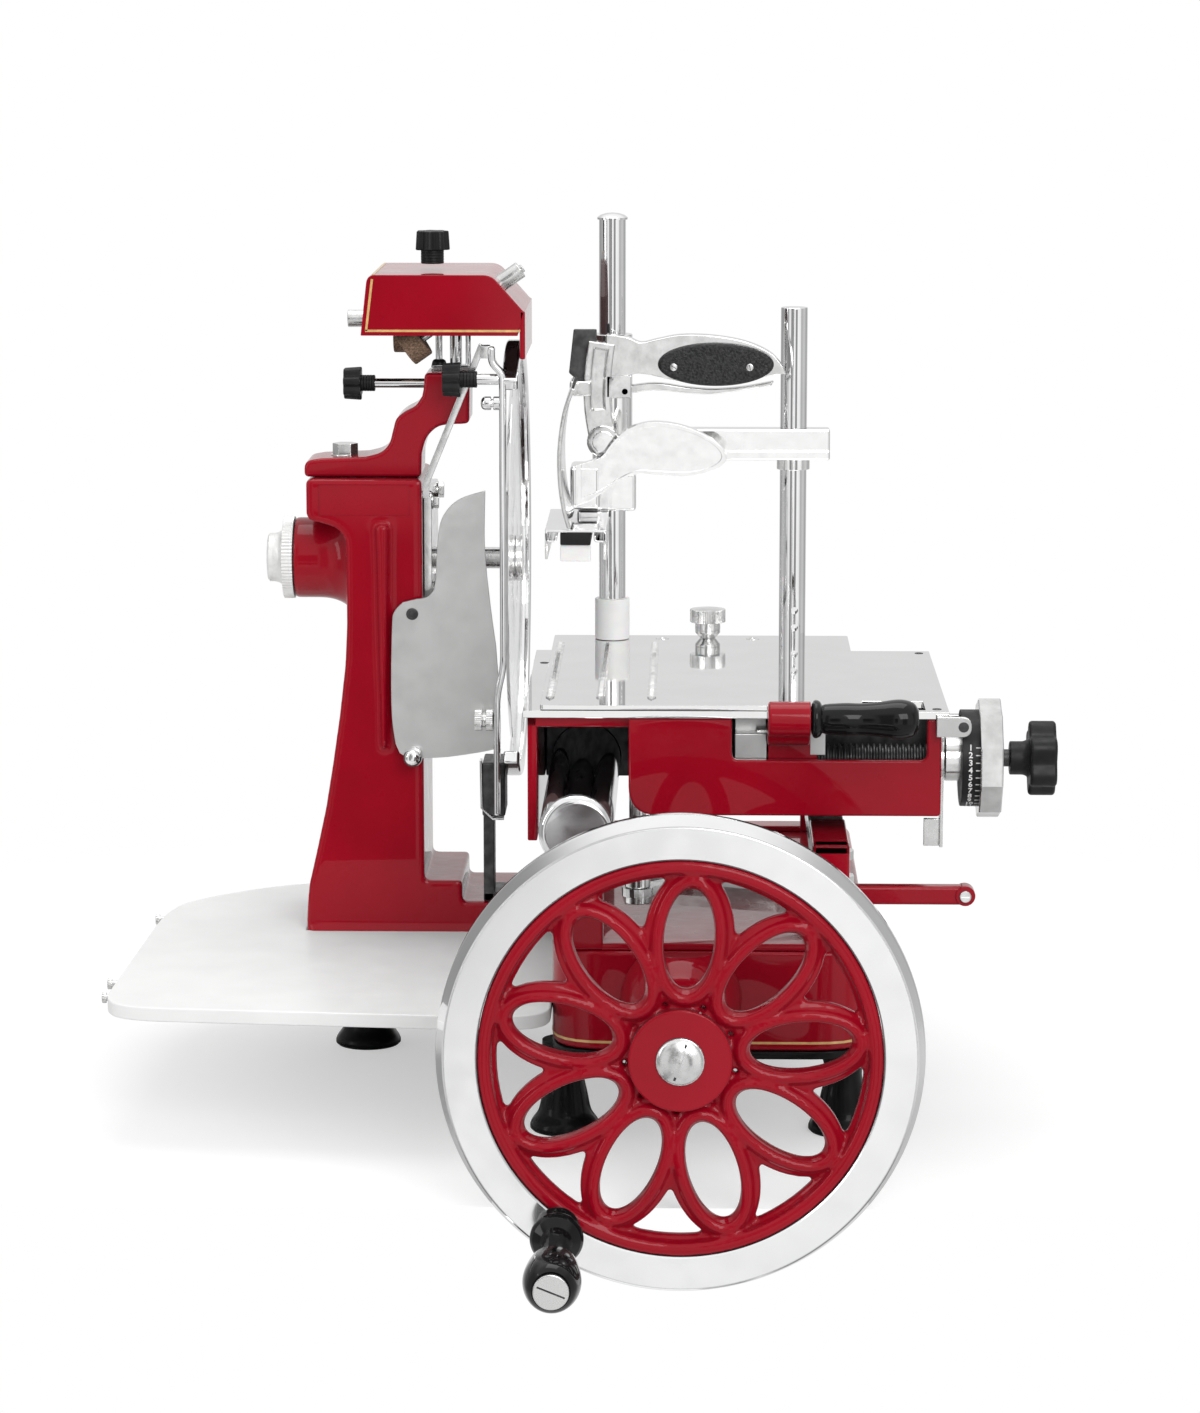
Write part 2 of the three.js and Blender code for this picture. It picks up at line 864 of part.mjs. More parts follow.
// Blade and its shaft
const bladeFace = bladeX + bladeThickness / 2;
const bladeBack = bladeX - bladeThickness / 2;
const blade = turned([
  [bladeShaft + fit, bladeBack - 8],
  [bladeHub, bladeBack - 8],
  [bladeHub + 4, bladeBack],
  [bladeRadius - 14, bladeBack],
  [bladeRadius, bladeFace - 0.5],
  [bladeRadius, bladeFace],
  [bladeHub, bladeFace - 1.2],
  [bladeShaft + fit, bladeFace - 1.2],
  [bladeShaft + fit, bladeBack - 8],
], 'x', 48);
piece('blade', blade, 'chrome', 0, bladeY, bladeZ);

const shaftLeft = bossEnd + 2;
const shaftRight = bladeFace + 2;
const bladeSpindle = turned([
  [0, shaftLeft],
  [bladeShaft, shaftLeft],
  [bladeShaft, shaftRight],
  [0, shaftRight],
], 'x', 24);

const bladeNut = pipe(bladeShaft + 9, bladeShaft - 1, bladeFace - 1.2 + fit, bladeFace + 4, 'x', 24);
piece('blade_shaft', join(bladeSpindle, bladeNut, place(upperSprocket, chainX, 0, 0)), 'steel',
  0, bladeY, bladeZ);

// Guard ring round the covered part of the blade
const guardLeft = bladeX - guardThickness / 2;
const guardRight = bladeX + guardThickness / 2;

function guardRing() {
  const half = (guardSweep / 2) * degrees;
  const shape = new THREE.Shape();
  shape.absarc(0, 0, guardOuter, -half, half);
  shape.absarc(0, 0, guardInner, half, -half, true);
  return alongX(shape, guardLeft, guardRight, 20);
}

// Guard bar in front of the blade, and the bracket that carries it
const guardBarX = -49.5;
const guardBarFront = 160;
const guardBarDepth = 12;
const guardBarThickness = 5;
const guardBarTop = guardTop - 3.5;
const guardBarFoot = 192;
const guardBarBack = guardBarFront + guardBarDepth;
const guardBar = alongY(
  ribbon([
    [guardBarX - 11, guardBarTop],
    [guardBarX, guardBarTop - 13],
    [guardBarX, 300],
    [guardBarX - 5, 280],
    [guardBarX - 5, guardBarFoot],
  ], guardBarThickness),
  guardBarFront,
  guardBarBack,
);

const bracketLeft = -66;
const bracketRight = guardLeft + 1;
const bracketTop = 230;
const bracketBack = 210;

function guardBracket() {
  const box = block(bracketLeft, bracketRight, guardBarBack - 1, bracketBack, 190, bracketTop);
  const leg = block(bracketLeft, bracketLeft + 8, columnFront + 2, bracketBack, tunnelTop + fit, 191);
  const foot = block(bracketLeft, bracketLeft + 18, columnFront + 2, bracketBack + 14, tunnelTop + fit,
    tunnelTop + 7);
  return join(box, leg, foot);
}

// Thin steel stay from the column to the guard bar's top
const stayFront = guardBarBack + 8;
const stayTop = guardBarTop - 2;
const stayTie = block(guardBarX - 13, guardBarX - 8, guardBarBack - 1, stayFront + 4, stayTop - 4,
  stayTop + 2);
const stay = alongY(
  ribbon([[-106.5, 425], [-106.5, 436], [-70, stayTop], [guardBarX - 9, stayTop]], 5),
  stayFront,
  stayFront + 4,
);

// Slice guide plate with its screw and its knob
const guideFront = 176;
const guideThickness = 3;
const guideScrewX = -117;
const guideScrewZ = 340;
const guideKnobZ = 234;

function guidePlate() {
  const shape = new THREE.Shape();
  shape.moveTo(-63, 431);
  shape.quadraticCurveTo(-98, 424, -98.5, 385);
  shape.lineTo(-100, 362);
  shape.quadraticCurveTo(-101, 353, -110, 351);
  shape.quadraticCurveTo(-131, 350, -132, 330);
  shape.lineTo(-133, 290);
  shape.quadraticCurveTo(-133, 262, -130, 240);
  shape.quadraticCurveTo(-127, 233, -118, 232);
  shape.quadraticCurveTo(-90, 232, -68, 237);
  shape.lineTo(-53.5, 240);
  shape.lineTo(-53.5, 287);
  shape.lineTo(-60, 350);
  return alongY(shape, guideFront, guideFront + guideThickness, 6);
}

const guideBack = guideFront + guideThickness;
const spacerEnd = columnFront - fit;

function guideSpacers() {
  const spacer = place(bar(5, guideBack - 1, spacerEnd, 'y', smallSteps), guideScrewX, 0, guideScrewZ);
  const head = place(bar(3, guideFront - 2, guideFront + 1, 'y', smallSteps), guideScrewX, 0,
    guideScrewZ);
  return [spacer, head];
}

piece('guide_plate', join(guidePlate(), ...guideSpacers()), 'satin');

const guideKnob = turned([
  [0, guideFront - 12],
  [4, guideFront - 11],
  [7, guideFront - 6],
  [7, guideFront - fit],
  [0, guideFront - fit],
], 'y', 20);
piece('guide_knob', guideKnob, 'chrome', guideScrewX, 0, guideKnobZ);

// Knurled screws on the guard bar
function doubleKnob(radius, neck, from, to) {
  const middle = (from + to) / 2;
  return turned([
    [0, from],
    [radius, from],
    [radius, middle - 2],
    [neck, middle - 2],
    [neck, middle + 2],
    [radius, middle + 2],
    [radius, to],
    [0, to],
  ], 'x', 20);
}

const guardScrewY = guardBarFront + guardBarDepth / 2;
const lowerBarLeft = guardBarX - 5 - guardBarThickness / 2;
const upperBarLeft = guardBarX - guardBarThickness / 2;
const upperKnobZ = guardBarTop - 36;
const lowerKnobZ = 263;
const upperGuardKnob = place(doubleKnob(5, 3, upperBarLeft - 13, upperBarLeft + 1), 0, guardScrewY,
  upperKnobZ);
piece('guard_knob', doubleKnob(8, 5, lowerBarLeft - 14, lowerBarLeft - fit), 'chrome', 0, guardScrewY,
  lowerKnobZ);
const bladeGuard = join(
  place(guardRing(), 0, bladeY, bladeZ),
  guardBar,
  stayTie,
  stay,
  upperGuardKnob,
  guardBracket(),
);
piece('blade_guard', bladeGuard, 'chrome');

// Receiving board with its edge pins
const boardBottom = armTop + fit;
const boardTop = boardBottom + boardThickness;

function receivingBoard() {
  const right = -baseOverhang - fit;
  const shape = new THREE.Shape();
  shape.moveTo(boardLeft + 2, boardFront + 60);
  shape.quadraticCurveTo(boardLeft + 5, boardFront + 26, boardLeft + 30, boardFront + 20);
  shape.lineTo(boardLeft + 235, boardFront + 1);
  shape.quadraticCurveTo(right - 12, boardFront, right, boardFront + 34);
  shape.lineTo(right, boardRear);
  shape.lineTo(boardLeft + 107, boardRear);
  shape.quadraticCurveTo(boardLeft + 60, boardRear - 14, boardLeft + 30, boardRear - 59);
  shape.quadraticCurveTo(boardLeft + 9, boardRear - 90, boardLeft + 9, boardRear - 118);
  shape.lineTo(boardLeft, boardFront + 110);
  const sheet = alongZ(shape, boardBottom, boardTop, 6);
  const notch = block(columnFootLeft - fit, right + 5, columnFront - fit, columnRear + fit,
    boardBottom - 1, boardTop + 1);
  return cut(sheet, notch);
}

function boardPins() {
  const z = boardBottom + boardThickness / 2;
  const spots = [[boardLeft + 1.7, -10], [boardLeft, 31], [boardLeft + 8.3, 240]];
  return spots.map(([x, y]) => place(bar(3.5, x - 6, x + 4, 'x', smallSteps), 0, y, z));
}

piece('receiving_board', join(receivingBoard(), ...boardPins()), 'white');

// Sharpener arm on the column's head
function sharpenerArm() {
  const foot = columnTop + fit;
  const shape = new THREE.Shape();
  const ledge = columnTop + armLedge;
  const elbow = armHead - 38;
  shape.moveTo(-108, armHead);
  shape.lineTo(-109, armHead - 14);
  shape.quadraticCurveTo(-111, armHead - 22, -123, armHead - 28);
  shape.quadraticCurveTo(-130, armHead - 31, -131, armHead - 42);
  shape.quadraticCurveTo(-134, ledge, -153, ledge);
  shape.lineTo(-185, ledge - 1);
  shape.quadraticCurveTo(-197, ledge - 3, -197, foot);
  shape.lineTo(-111, foot);
  shape.lineTo(-110, elbow - 19);
  shape.quadraticCurveTo(-108, elbow - 2, -92, elbow);
  shape.lineTo(-80, elbow);
  shape.quadraticCurveTo(-75, elbow + 1, -75, elbow + 7);
  shape.lineTo(-75, armHead);
  return alongY(shape, armFront, armFront + armWidth, 6);
}

const boltBase = columnTop + armLedge - 2;
const armBolt = place(hexHead(9, boltBase, boltBase + 10, 'z'), -168.5, armFront + armWidth / 2, 0);
piece('sharpener_arm', join(sharpenerArm(), armBolt), 'red');

// Posts that carry the sharpener head
const postTopZ = headTop - 18;
const headRodY = armFront + armWidth - 10;
const headRods = [[-99.5, 2.6], [-87, 4.5], [-78, 2]];

function sharpenerRods() {
  const base = block(-104, -75, headRodY - 6, headRodY + 6, armHead + fit, armHead + 3);
  const rods = headRods.map(([x, radius]) => place(
    bar(radius, armHead + 1, postTopZ, 'z', smallSteps), x, headRodY, 0));
  return join(base, ...rods);
}

piece('sharpener_rods', sharpenerRods(), 'chrome');

// Sharpener head: hood, block, clamp knob
// The outline moved inwards by the inset, open at the bottom
function hoodOutline(inset) {
  const bottom = headBottom - (inset > 0 ? 20 : 0);
  return outline([
    [headLeft + 5 + inset, headTop - inset],
    [headLeft + inset, bottom],
    [headRight - 5 - inset, bottom],
    [headRight - inset, headBottom + headLip],
    [headRight - 24 - inset * 0.4, headTop - inset],
  ]);
}

function sharpenerHood() {
  const rear = headFront + headDepth;
  const shell = alongY(hoodOutline(0), headFront, rear);
  const lip = block(headRight - headWall + 0.5, headRight + 0.5, headFront, rear, headBottom - headLip,
    headBottom + headLip + 1);
  const hollow = alongY(hoodOutline(headWall), headFront + headWall, rear - headWall);
  const leftHole = place(bar(pushRadius - 3 + fit, headLeft - 7, headLeft + 13, 'x', smallSteps), 0,
    stoneOneY, pinOneZ);
  const tilted = pushBar(3 + fit, 30, 110);
  return cut(join(shell, lip), hollow, leftHole, tilted);
}

const stoneOneY = 262;
const pinOneZ = headTop - 36.5;
const stoneTwoX = -118;
const stoneTwoY = 204;
const stoneTwoZ = headTop - 54;

function pushBar(radius, from, to) {
  const rod = bar(radius, from, to, 'x', smallSteps).rotateY(-stoneTilt * degrees);
  return place(rod, stoneTwoX, stoneTwoY, stoneTwoZ);
}

function headBlock() {
  const body = block(headLeft + 45, headRight - 32, headRodY - 12, headRodY + 12, headBottom + 4,
    headTop - headWall + 1);
  const bores = headRods.map(([x, radius]) => place(
    bar(radius + fit, headBottom - 4, postTopZ + 12, 'z', smallSteps), x, headRodY, 0));
  return cut(body, ...bores);
}

piece('sharpener_hood', join(sharpenerHood(), headBlock()), 'red');

function handKnob(radius, length, neck, neckLength, stud, studLength, axis) {
  const head = extruded(lobed(radius, knobLobes, 3), length, 4);
  const stem = turned([
    [0, length - 1],
    [neck, length - 1],
    [neck, length + neckLength],
    [stud, length + neckLength],
    [stud, length + neckLength + studLength],
    [0, length + neckLength + studLength],
  ], 'z', smallSteps);
  const whole = join(head, stem);
  if (axis === 'x') {
    whole.rotateY(Math.PI / 2);
  }
  if (axis === '-z') {
    whole.rotateX(Math.PI);
  }
  if (axis === '-x') {
    whole.rotateY(-Math.PI / 2);
  }
  return whole;
}

const clampRise = 28;
const clampNeck = 8.5;
const clampNeckLength = 10;
const clampStud = clampRise - knobLength - clampNeckLength - fit;
piece('hood_knob', handKnob(knobRadius, knobLength, clampNeck, clampNeckLength, 4, clampStud, '-z'),
  'rubber', -105, crossY, headTop + clampRise);

const sideKnobLength = 13;
const sideNeck = 6;
const leftNeckLength = 10;
const leftKnobX = -169;
const leftStud = -109 - fit - leftKnobX - sideKnobLength - leftNeckLength;
piece('left_arm_knob', handKnob(12.5, sideKnobLength, sideNeck, leftNeckLength, 3.5, leftStud, 'x'),
  'rubber', leftKnobX, armFront + armWidth / 2, armHead - 9);

const rightNeckLength = 12;
const rightKnobX = -93;
const rightStud = upperBarLeft - fit - rightKnobX - sideKnobLength - rightNeckLength;
piece('right_arm_knob', handKnob(knobRadius, sideKnobLength, sideNeck, rightNeckLength, 4, rightStud, 'x'),
  'rubber', rightKnobX, guardScrewY, armHead - 1);

// Sharpening stones on their push rods
function pusherOne() {
  const button = bar(pushRadius, headLeft - 16, headLeft - fit - pushRadius, 'x', 20);
  const rod = bar(pushRadius - 3, -161, -134, 'x', smallSteps);
  const holder = block(-141, -135, -9, 9, -22, 4);
  return join(button, rod, holder);
}

piece('truing_pusher', pusherOne(), 'steel', 0, stoneOneY, pinOneZ);
piece('truing_stone', bar(stoneRadius - 2, -135 + fit, -135 + fit + stoneThickness - 2, 'x', 20), 'stone',
  0, stoneOneY, pinOneZ - 15);

function pusherTwo() {
  const rod = pushBar(3, stoneThickness / 2 + fit, 100);
  const button = pushBar(5.5, 92.5, 104);
  return join(rod, button);
}

piece('grinding_pusher', pusherTwo(), 'steel');
const grindingStone = pushBar(stoneRadius, -stoneThickness / 2, stoneThickness / 2);
piece('grinding_stone', grindingStone, 'stone');

// Guide tube, its caps and its brackets
const tubeRear = baseRear - 5;
const guideTube = pipe(tubeRadius, tubeRadius - tubeWall, tubeFront, tubeRear, 'y');

function tubeCaps() {
  const plug = tubeRadius - tubeWall + 1;
  const front = turned([
    [0, tubeFront - 7],
    [tubeRadius - 5, tubeFront - 7],
    [tubeRadius, tubeFront - 4],
    [tubeRadius, tubeFront + 1],
    [plug, tubeFront + 1],
    [plug, tubeFront + 8],
    [0, tubeFront + 8],
  ], 'y');
  const rear = turned([
    [capVent, tubeRear - 8],
    [plug, tubeRear - 8],
    [plug, tubeRear - 1],
    [tubeRadius, tubeRear - 1],
    [tubeRadius, tubeRear + 5],
    [capVent, tubeRear + 5],
    [capVent, tubeRear - 8],
  ], 'y');
  return [front, rear];
}

piece('guide_tube', join(guideTube, ...tubeCaps()), 'chrome', tubeX, 0, tubeZ);

const bracketHalf = 16.5;

function tubeBracket(y0, y1) {
  const post = block(tubeX - bracketHalf, tubeX + bracketHalf, y0, y1, baseTop + fit,
    tubeZ - tubeRadius * 0.75);
  const tube = place(bar(tubeRadius + fit, y0 - 1, y1 + 1, 'y'), tubeX, 0, tubeZ);
  return cut(post, tube);
}

const bracketDepth = 20;
const frontBracketY = baseFront + 2;
const rearBracketY = baseRear - 48;

// Right rail, its end block and its supports
const railLeft = railX - railWidth / 2;
const railRight = railX + railWidth / 2;
const railBottom = railTop - railThickness;
piece('right_rail', block(railLeft, railRight, railFront, baseRear - 5, railBottom, railTop), 'steel');

const endBlockFront = railFront - 15;
const endBlockRear = endBlockFront + railBlockLength;
const railSeat = railBottom - fit;
const railEndBlock = join(
  block(railLeft, railRight, endBlockFront, endBlockRear, railTop + fit, railTop + 7),
  block(railLeft, railRight, endBlockFront, railFront - fit, railSeat - 6, railTop + 7),
  block(railLeft, railRight, endBlockFront, railFront + 4, railSeat - 6, railSeat),
);

const supportInset = 2;

function railSupport(y0) {
  return block(railLeft + supportInset, railRight - supportInset, y0, y0 + 16, baseTop + fit,
    railBottom - fit);
}

function bracketBridge(y0) {
  return block(tubeX + bracketHalf - 1, railLeft + supportInset + 1, y0, y0 + 16, baseTop + fit,
    crankArmBottom - 1);
}

// Feed stop arm with its pin
const stopX = 276;
const stopY = baseFront + 10;
const stopZ = 181;

function stopArm() {
  const left = railRight - supportInset - 1;
  const beam = block(left, stopX, stopY - 6, stopY + 6, stopZ - 5, stopZ + 5);
  const eye = place(bar(7, stopY - 7, stopY + 7, 'y', 20), stopX, 0, stopZ);
  const pin = place(bar(4, stopY - 9, stopY + 9, 'y', smallSteps), stopX, 0, stopZ);
  return join(beam, eye, pin);
}

const frontBracket = join(
  tubeBracket(frontBracketY, frontBracketY + bracketDepth),
  bracketBridge(frontBracketY),
  railSupport(frontBracketY),
  railEndBlock,
  stopArm(),
);
piece('front_bracket', frontBracket, 'red');

const rearBracket = join(
  tubeBracket(rearBracketY, rearBracketY + bracketDepth),
  bracketBridge(rearBracketY),
  railSupport(rearBracketY),
);
piece('rear_bracket', rearBracket, 'red');

// Carriage: lower plate
const nutLeft = windowLeft + 2;
const leverLeft = nutLeft + nutWidth + fit;
const leverRight = leverLeft + leverWidth;
const cheekRight = leverRight + fit + 11;

function lowerPlate() {
  const plate = block(lowerLeft, lowerRight, tableFront - 2, lowerRear, lowerBottom, lowerTop);
  const slot = block(nutLeft - 2, cheekRight + tableTravel + 2, screwY - 18, screwY + 18,
    lowerBottom - 1, lowerTop + 1);
  return cut(plate, slot);
}

piece('lower_plate', lowerPlate(), 'chrome');

// Carriage casting: front panel with its window, walls and the web over the tube
function panelOutline() {
  const corner = 16;
  const shape = new THREE.Shape();
  shape.moveTo(panelLeft, castTop);
  shape.lineTo(panelLeft, panelBottom + corner);
  shape.absarc(panelLeft + corner, panelBottom + corner, corner, Math.PI, 1.5 * Math.PI);
  shape.lineTo(panelRight, panelBottom);
  shape.lineTo(panelRight, castTop);
  return shape;
}

function carriageCasting() {
  const shell = alongY(panelOutline(), tableFront, lowerRear);
  const room = block(panelLeft + wall, panelRight - wall, tableFront + wall, lowerRear - wall,
    panelBottom - 1, castTop + 1);
  const window = block(windowLeft, windowRight, tableFront - 1, tableFront + wall + 1,
    windowBottom, castTop + 1);
  const leftWall = block(lowerLeft + 3, lowerLeft + 9.7, tableFront + 9, lowerRear, 211, castTop);
  const web = block(lowerLeft + 3, panelLeft + 1, tableFront + 9, lowerRear, castTop - 8, castTop);
  const screwHole = place(bar(screwRadius + fit, panelRight - wall - 1, panelRight + 1, 'x', 24),
    0, screwY, screwZ);
  const rib = block(panelLeft + 1, panelRight - 1, rollerY - 9, rollerY + 9, castTop - 8, castTop);
  return cut(join(cut(shell, room), leftWall, web, rib), window, screwHole);
}

// Half round bearings that slide on the tube
const bearingLeft = lowerLeft + 9.7 + fit;
const bearingRight = panelLeft - fit;

function slideBearing() {
  const y0 = tableFront + 12;
  const y1 = lowerRear - 15;
  const top = castTop - 8 - fit;
  const body = block(bearingLeft, bearingRight, y0, y1, tubeZ - 14, top);
  const relief = block(bearingLeft - 1, bearingRight + 1, y0 + 42, y1 - 42, tubeZ - 15, top - 14);
  return cut(body, relief, place(bar(tubeRadius + fit, y0 - 1, y1 + 1, 'y'), tubeX, 0, tubeZ));
}

piece('slide_bearing', slideBearing(), 'steel');

// Roller under the carriage that runs on the right rail
const rollerZ = railTop + rollerRadius + fit;
const cheek = 4;
const cheekGap = 0.6;
const forkLeft = railLeft - 1;
const forkRight = railRight + 1;

function rollerFork() {
  const y0 = rollerY - 9;
  const y1 = rollerY + 9;
  const left = block(forkLeft, forkLeft + cheek, y0, y1, railTop + 3, castTop);
  const right = block(forkRight - cheek, forkRight, y0, y1, railTop + 3, castTop);
  const top = block(forkLeft, forkRight, y0, y1, castTop - 8, castTop);
  const bore = place(bar(3 + fit, forkLeft - 1, forkRight + 1, 'x', smallSteps), 0, rollerY, rollerZ);
  return cut(join(left, top, right), bore);
}

const rollerLeft = forkLeft + cheek + cheekGap;
const rollerRight = forkRight - cheek - cheekGap;
const railRoller = turned([
  [0, forkLeft],
  [3, forkLeft],
  [3, rollerLeft],
  [rollerRadius, rollerLeft],
  [rollerRadius, rollerRight],
  [3, rollerRight],
  [3, forkRight],
  [0, forkRight],
], 'x', 24);
piece('rail_roller', railRoller, 'steel', 0, rollerY, rollerZ);

// Drive lug under the carriage, and the connecting rod on it
const rodBottom = pinTop + 5.5;
const rodTop = rodBottom + rodThickness;
const lugBolt = 5;
const lugStem = 6;
const driveLug = turned([
  [0, pinTop + fit],
  [9, pinTop + fit],
  [9, rodBottom - fit],
  [lugBolt, rodBottom - fit],
  [lugBolt, rodTop + fit],
  [9, rodTop + fit],
  [9, rodTop + 7],
  [lugStem, rodTop + 7],
  [lugStem, panelBottom + 12],
  [0, panelBottom + 12],
], 'z', 20);

function connectingRod() {
  const dx = throwX + throwDx - lugX;
  const dy = throwY + throwDy - lugY;
  const length = Math.hypot(dx, dy);
  const beam = block(0, length, -rodWidth / 2, rodWidth / 2, 0, rodThickness);
  const nearEye = bar(lugBolt + 6, 0, rodThickness, 'z', 20);
  const farEye = place(bar(throwPin + 6, 0, rodThickness, 'z', 20), length, 0, 0);
  const nearBore = bar(lugBolt + fit, -1, rodThickness + 1, 'z', smallSteps);
  const farBore = place(bar(throwPin + fit, -1, rodThickness + 1, 'z', smallSteps), length, 0, 0);
  return cut(join(beam, nearEye, farEye), nearBore, farBore).rotateZ(Math.atan2(dy, dx));
}

piece('connecting_rod', connectingRod(), 'satin', lugX, lugY, rodBottom);

// Lead screw with its hub and star knob
const drumRight = drumLeft + drumLength;
const dialRight = drumRight + dialLength;
const studEnd = dialRight + 6;
const knobHubEnd = studEnd + 13;
const starEnd = knobHubEnd + starLength;
const screwLeft = panelLeft + wall + 8;
const leadScrew = turned([
  [0, screwLeft],
  [screwRadius, screwLeft],
  [screwRadius, panelRight + 1],
  [6, panelRight + 1],
  [6, studEnd],
  [0, studEnd],
], 'x', 20);
piece('lead_screw', leadScrew, 'steel', 0, screwY, screwZ);

function starKnob() {
  const hub = bar(11.6, studEnd + fit, knobHubEnd + 1, 'x', 24);
  const star = place(alongX(lobed(starRadius, 6, 4.5), 0, starLength), knobHubEnd, 0, 0);
  return join(hub, star);
}

piece('star_knob', starKnob(), 'rubber', 0, screwY, screwZ);

// Thickness dial: hub, numbered drum and scalloped ring
const hubBore = 6 + fit;
const dialHub = pipe(16, hubBore, panelRight + 1 + fit + 2, drumLeft + 1, 'x', 24);
const dialDrum = pipe(drumRadius, hubBore, drumLeft, drumRight + 1, 'x');

function dialRing() {
  const ring = place(alongX(lobed(dialRadius, dialLobes, 3, 5), 0, dialLength - fit), drumRight, 0, 0);
  return cut(ring, bar(hubBore, drumRight - 1, dialRight + 1, 'x', 24));
}

piece('thickness_dial', join(dialRing(), dialDrum, dialHub), 'satin', 0, screwY, screwZ);

function dialBracket() {
  const lug = block(panelRight - 1, drumRight - 2, 28, 36, screwZ + 12, screwZ + 24);
  const foot = block(panelRight - 1, panelRight + 6, 14, 36, screwZ + 2, screwZ + 24);
  const bore = place(bar(2.5, 27, 37, 'y', smallSteps), drumRight - 8, 0, screwZ + 18);
  return cut(join(lug, foot), bore);
}

const carriage = join(
  carriageCasting(),
  place(driveLug, lugX, lugY, 0),
  rollerFork(),
  dialBracket(),
);
piece('carriage_casting', carriage, 'red');

// Feed pawl lever that hangs on the screw's hub
function pawlLever() {
  const left = panelRight + fit;
  const right = panelRight + 2.6;
  const eye = bar(14, left, right, 'x', 24);
  const leg = block(left, right, -7, 7, -62, 0);
  const bore = bar(screwRadius + 1, left - 1, right + 1, 'x', 20);
  return cut(join(eye, leg), bore);
}

piece('feed_pawl_lever', pawlLever(), 'satin', 0, screwY, screwZ);

// Table: upper plate and the strips of small spikes
const underTable = tableTop - upperThickness;

function upperPlate() {
  const plate = block(upperLeft, upperRight, tableFront, upperRear, underTable, tableTop);
  const holes = [leftPostX, rightPostX].map((x) => place(
    bar(postRadius + fit, underTable - 1, tableTop + 1, 'z', 18), x, postY, 0));
  return cut(plate, ...holes);
}

function spikeStrip(x) {
  const strip = block(x - 2, x + 2, tableFront + 22, upperRear - 18, tableTop - 1, tableTop + 2);
  return strip;
}

const stripSpots = [-4, 34, 74].map((shift) => leftPostX - 18 + shift);
piece('upper_plate', join(upperPlate(), ...stripSpots.map(spikeStrip)), 'chrome');

const beamDepth = 27;
const beamBottom = underTable - 18;

function postBeam() {
  const front = lowerRear + 18;
  return block(leftPostX - 22, rightPostX + 22, front, front + beamDepth, beamBottom, underTable - fit);
}

function post(top) {
  const bottom = beamBottom + 2;
  return turned([
    [0, bottom],
    [postRadius, bottom],
    [postRadius, top - 3],
    [postRadius - 2.5, top - 0.7],
    [0, top],
  ], 'z', 18);
}

const leftPost = place(post(leftPostTop), leftPostX, postY, 0);
const rightPost = place(post(rightPostTop), rightPostX, postY, 0);
const sleeve = place(bar(sleeveRadius, tableTop + fit, sleeveTop, 'z', 18), leftPostX, postY, 0);
piece('table_posts', join(postBeam(), leftPost, rightPost, sleeve), 'chrome');

// Knurled screw on the table's back edge
const tableKnob = turned([
  [0, tableTop + fit],
  [6, tableTop + fit],
  [9.5, tableTop + 4],
  [9.5, tableTop + 12],
  [13.5, tableTop + 13],
  [13.5, tableTop + 23],
  [0, tableTop + 23],
], 'z', 18);
piece('table_knob', tableKnob, 'chrome', 100, upperRear - 12, 0);

// Half nut carrier under the table
function tableNut() {
  const left = block(nutLeft, nutLeft + nutWidth, screwY - 16, screwY + 14, windowBottom - 14,
    underTable - fit);
  const right = block(leverRight + fit, cheekRight, screwY - 16, screwY + 14, windowBottom + 2,
    underTable - fit);
  const bridge = block(nutLeft, cheekRight, screwY - 2, screwY + 14, lowerBottom + 1, underTable - fit);
  const bore = place(bar(screwRadius + fit, nutLeft - 1, cheekRight + 1, 'x', 24), 0, screwY, screwZ);
  const pinHole = place(bar(3 + fit, nutLeft + nutWidth - 9, cheekRight + 1, 'x', smallSteps),
    0, leverPivotY, leverPivotZ);
  return cut(join(left, bridge, right), bore, pinHole);
}

piece('table_nut', tableNut(), 'steel');

// Release lever: arm, hub, pivot pin and the turned grip
function leverArm() {
  const dy = gripY - leverPivotY;
  const dz = gripZ - leverPivotZ;
  const arm = alongX(ribbon([[0, 0], [dy * 0.45, -3], [dy, dz]], 8), leverLeft, leverRight);
  const hub = place(bar(12, leverLeft, leverRight, 'x', 24), 0, dy, dz);
  const eye = bar(6.5, leverLeft, leverRight, 'x', 20);
  const pin = bar(3, nutLeft + nutWidth - 7, cheekRight - 1, 'x', smallSteps);
  return join(arm, hub, eye, pin);
}

piece('release_lever', leverArm(), 'red', 0, leverPivotY, leverPivotZ);

const leverGrip = turned([
  [0, leverRight + fit],
  [9, leverRight + fit],
  [13, leverRight + 2],
  [13, leverRight + 5],
  [9.5, leverRight + 9],
  [10.5, leverRight + 16],
  [12, leverRight + leverGripLength * 0.45],
  [leverGripRadius, leverRight + leverGripLength * 0.75],
  [11.5, leverRight + leverGripLength - 3],
  [6, leverRight + leverGripLength],
  [0, leverRight + leverGripLength],
], 'x', 20);
piece('lever_grip', leverGrip, 'black', 0, gripY, gripZ);

// Press: carrier on both posts with its leaf handle
const carrierFront = postY - pressSleeve - 12;
const leafFront = carrierFront - 35;
const leafBack = leafFront + 13;
const linkFront = leafBack + 3;
const pivotFront = carrierFront - 0.5;

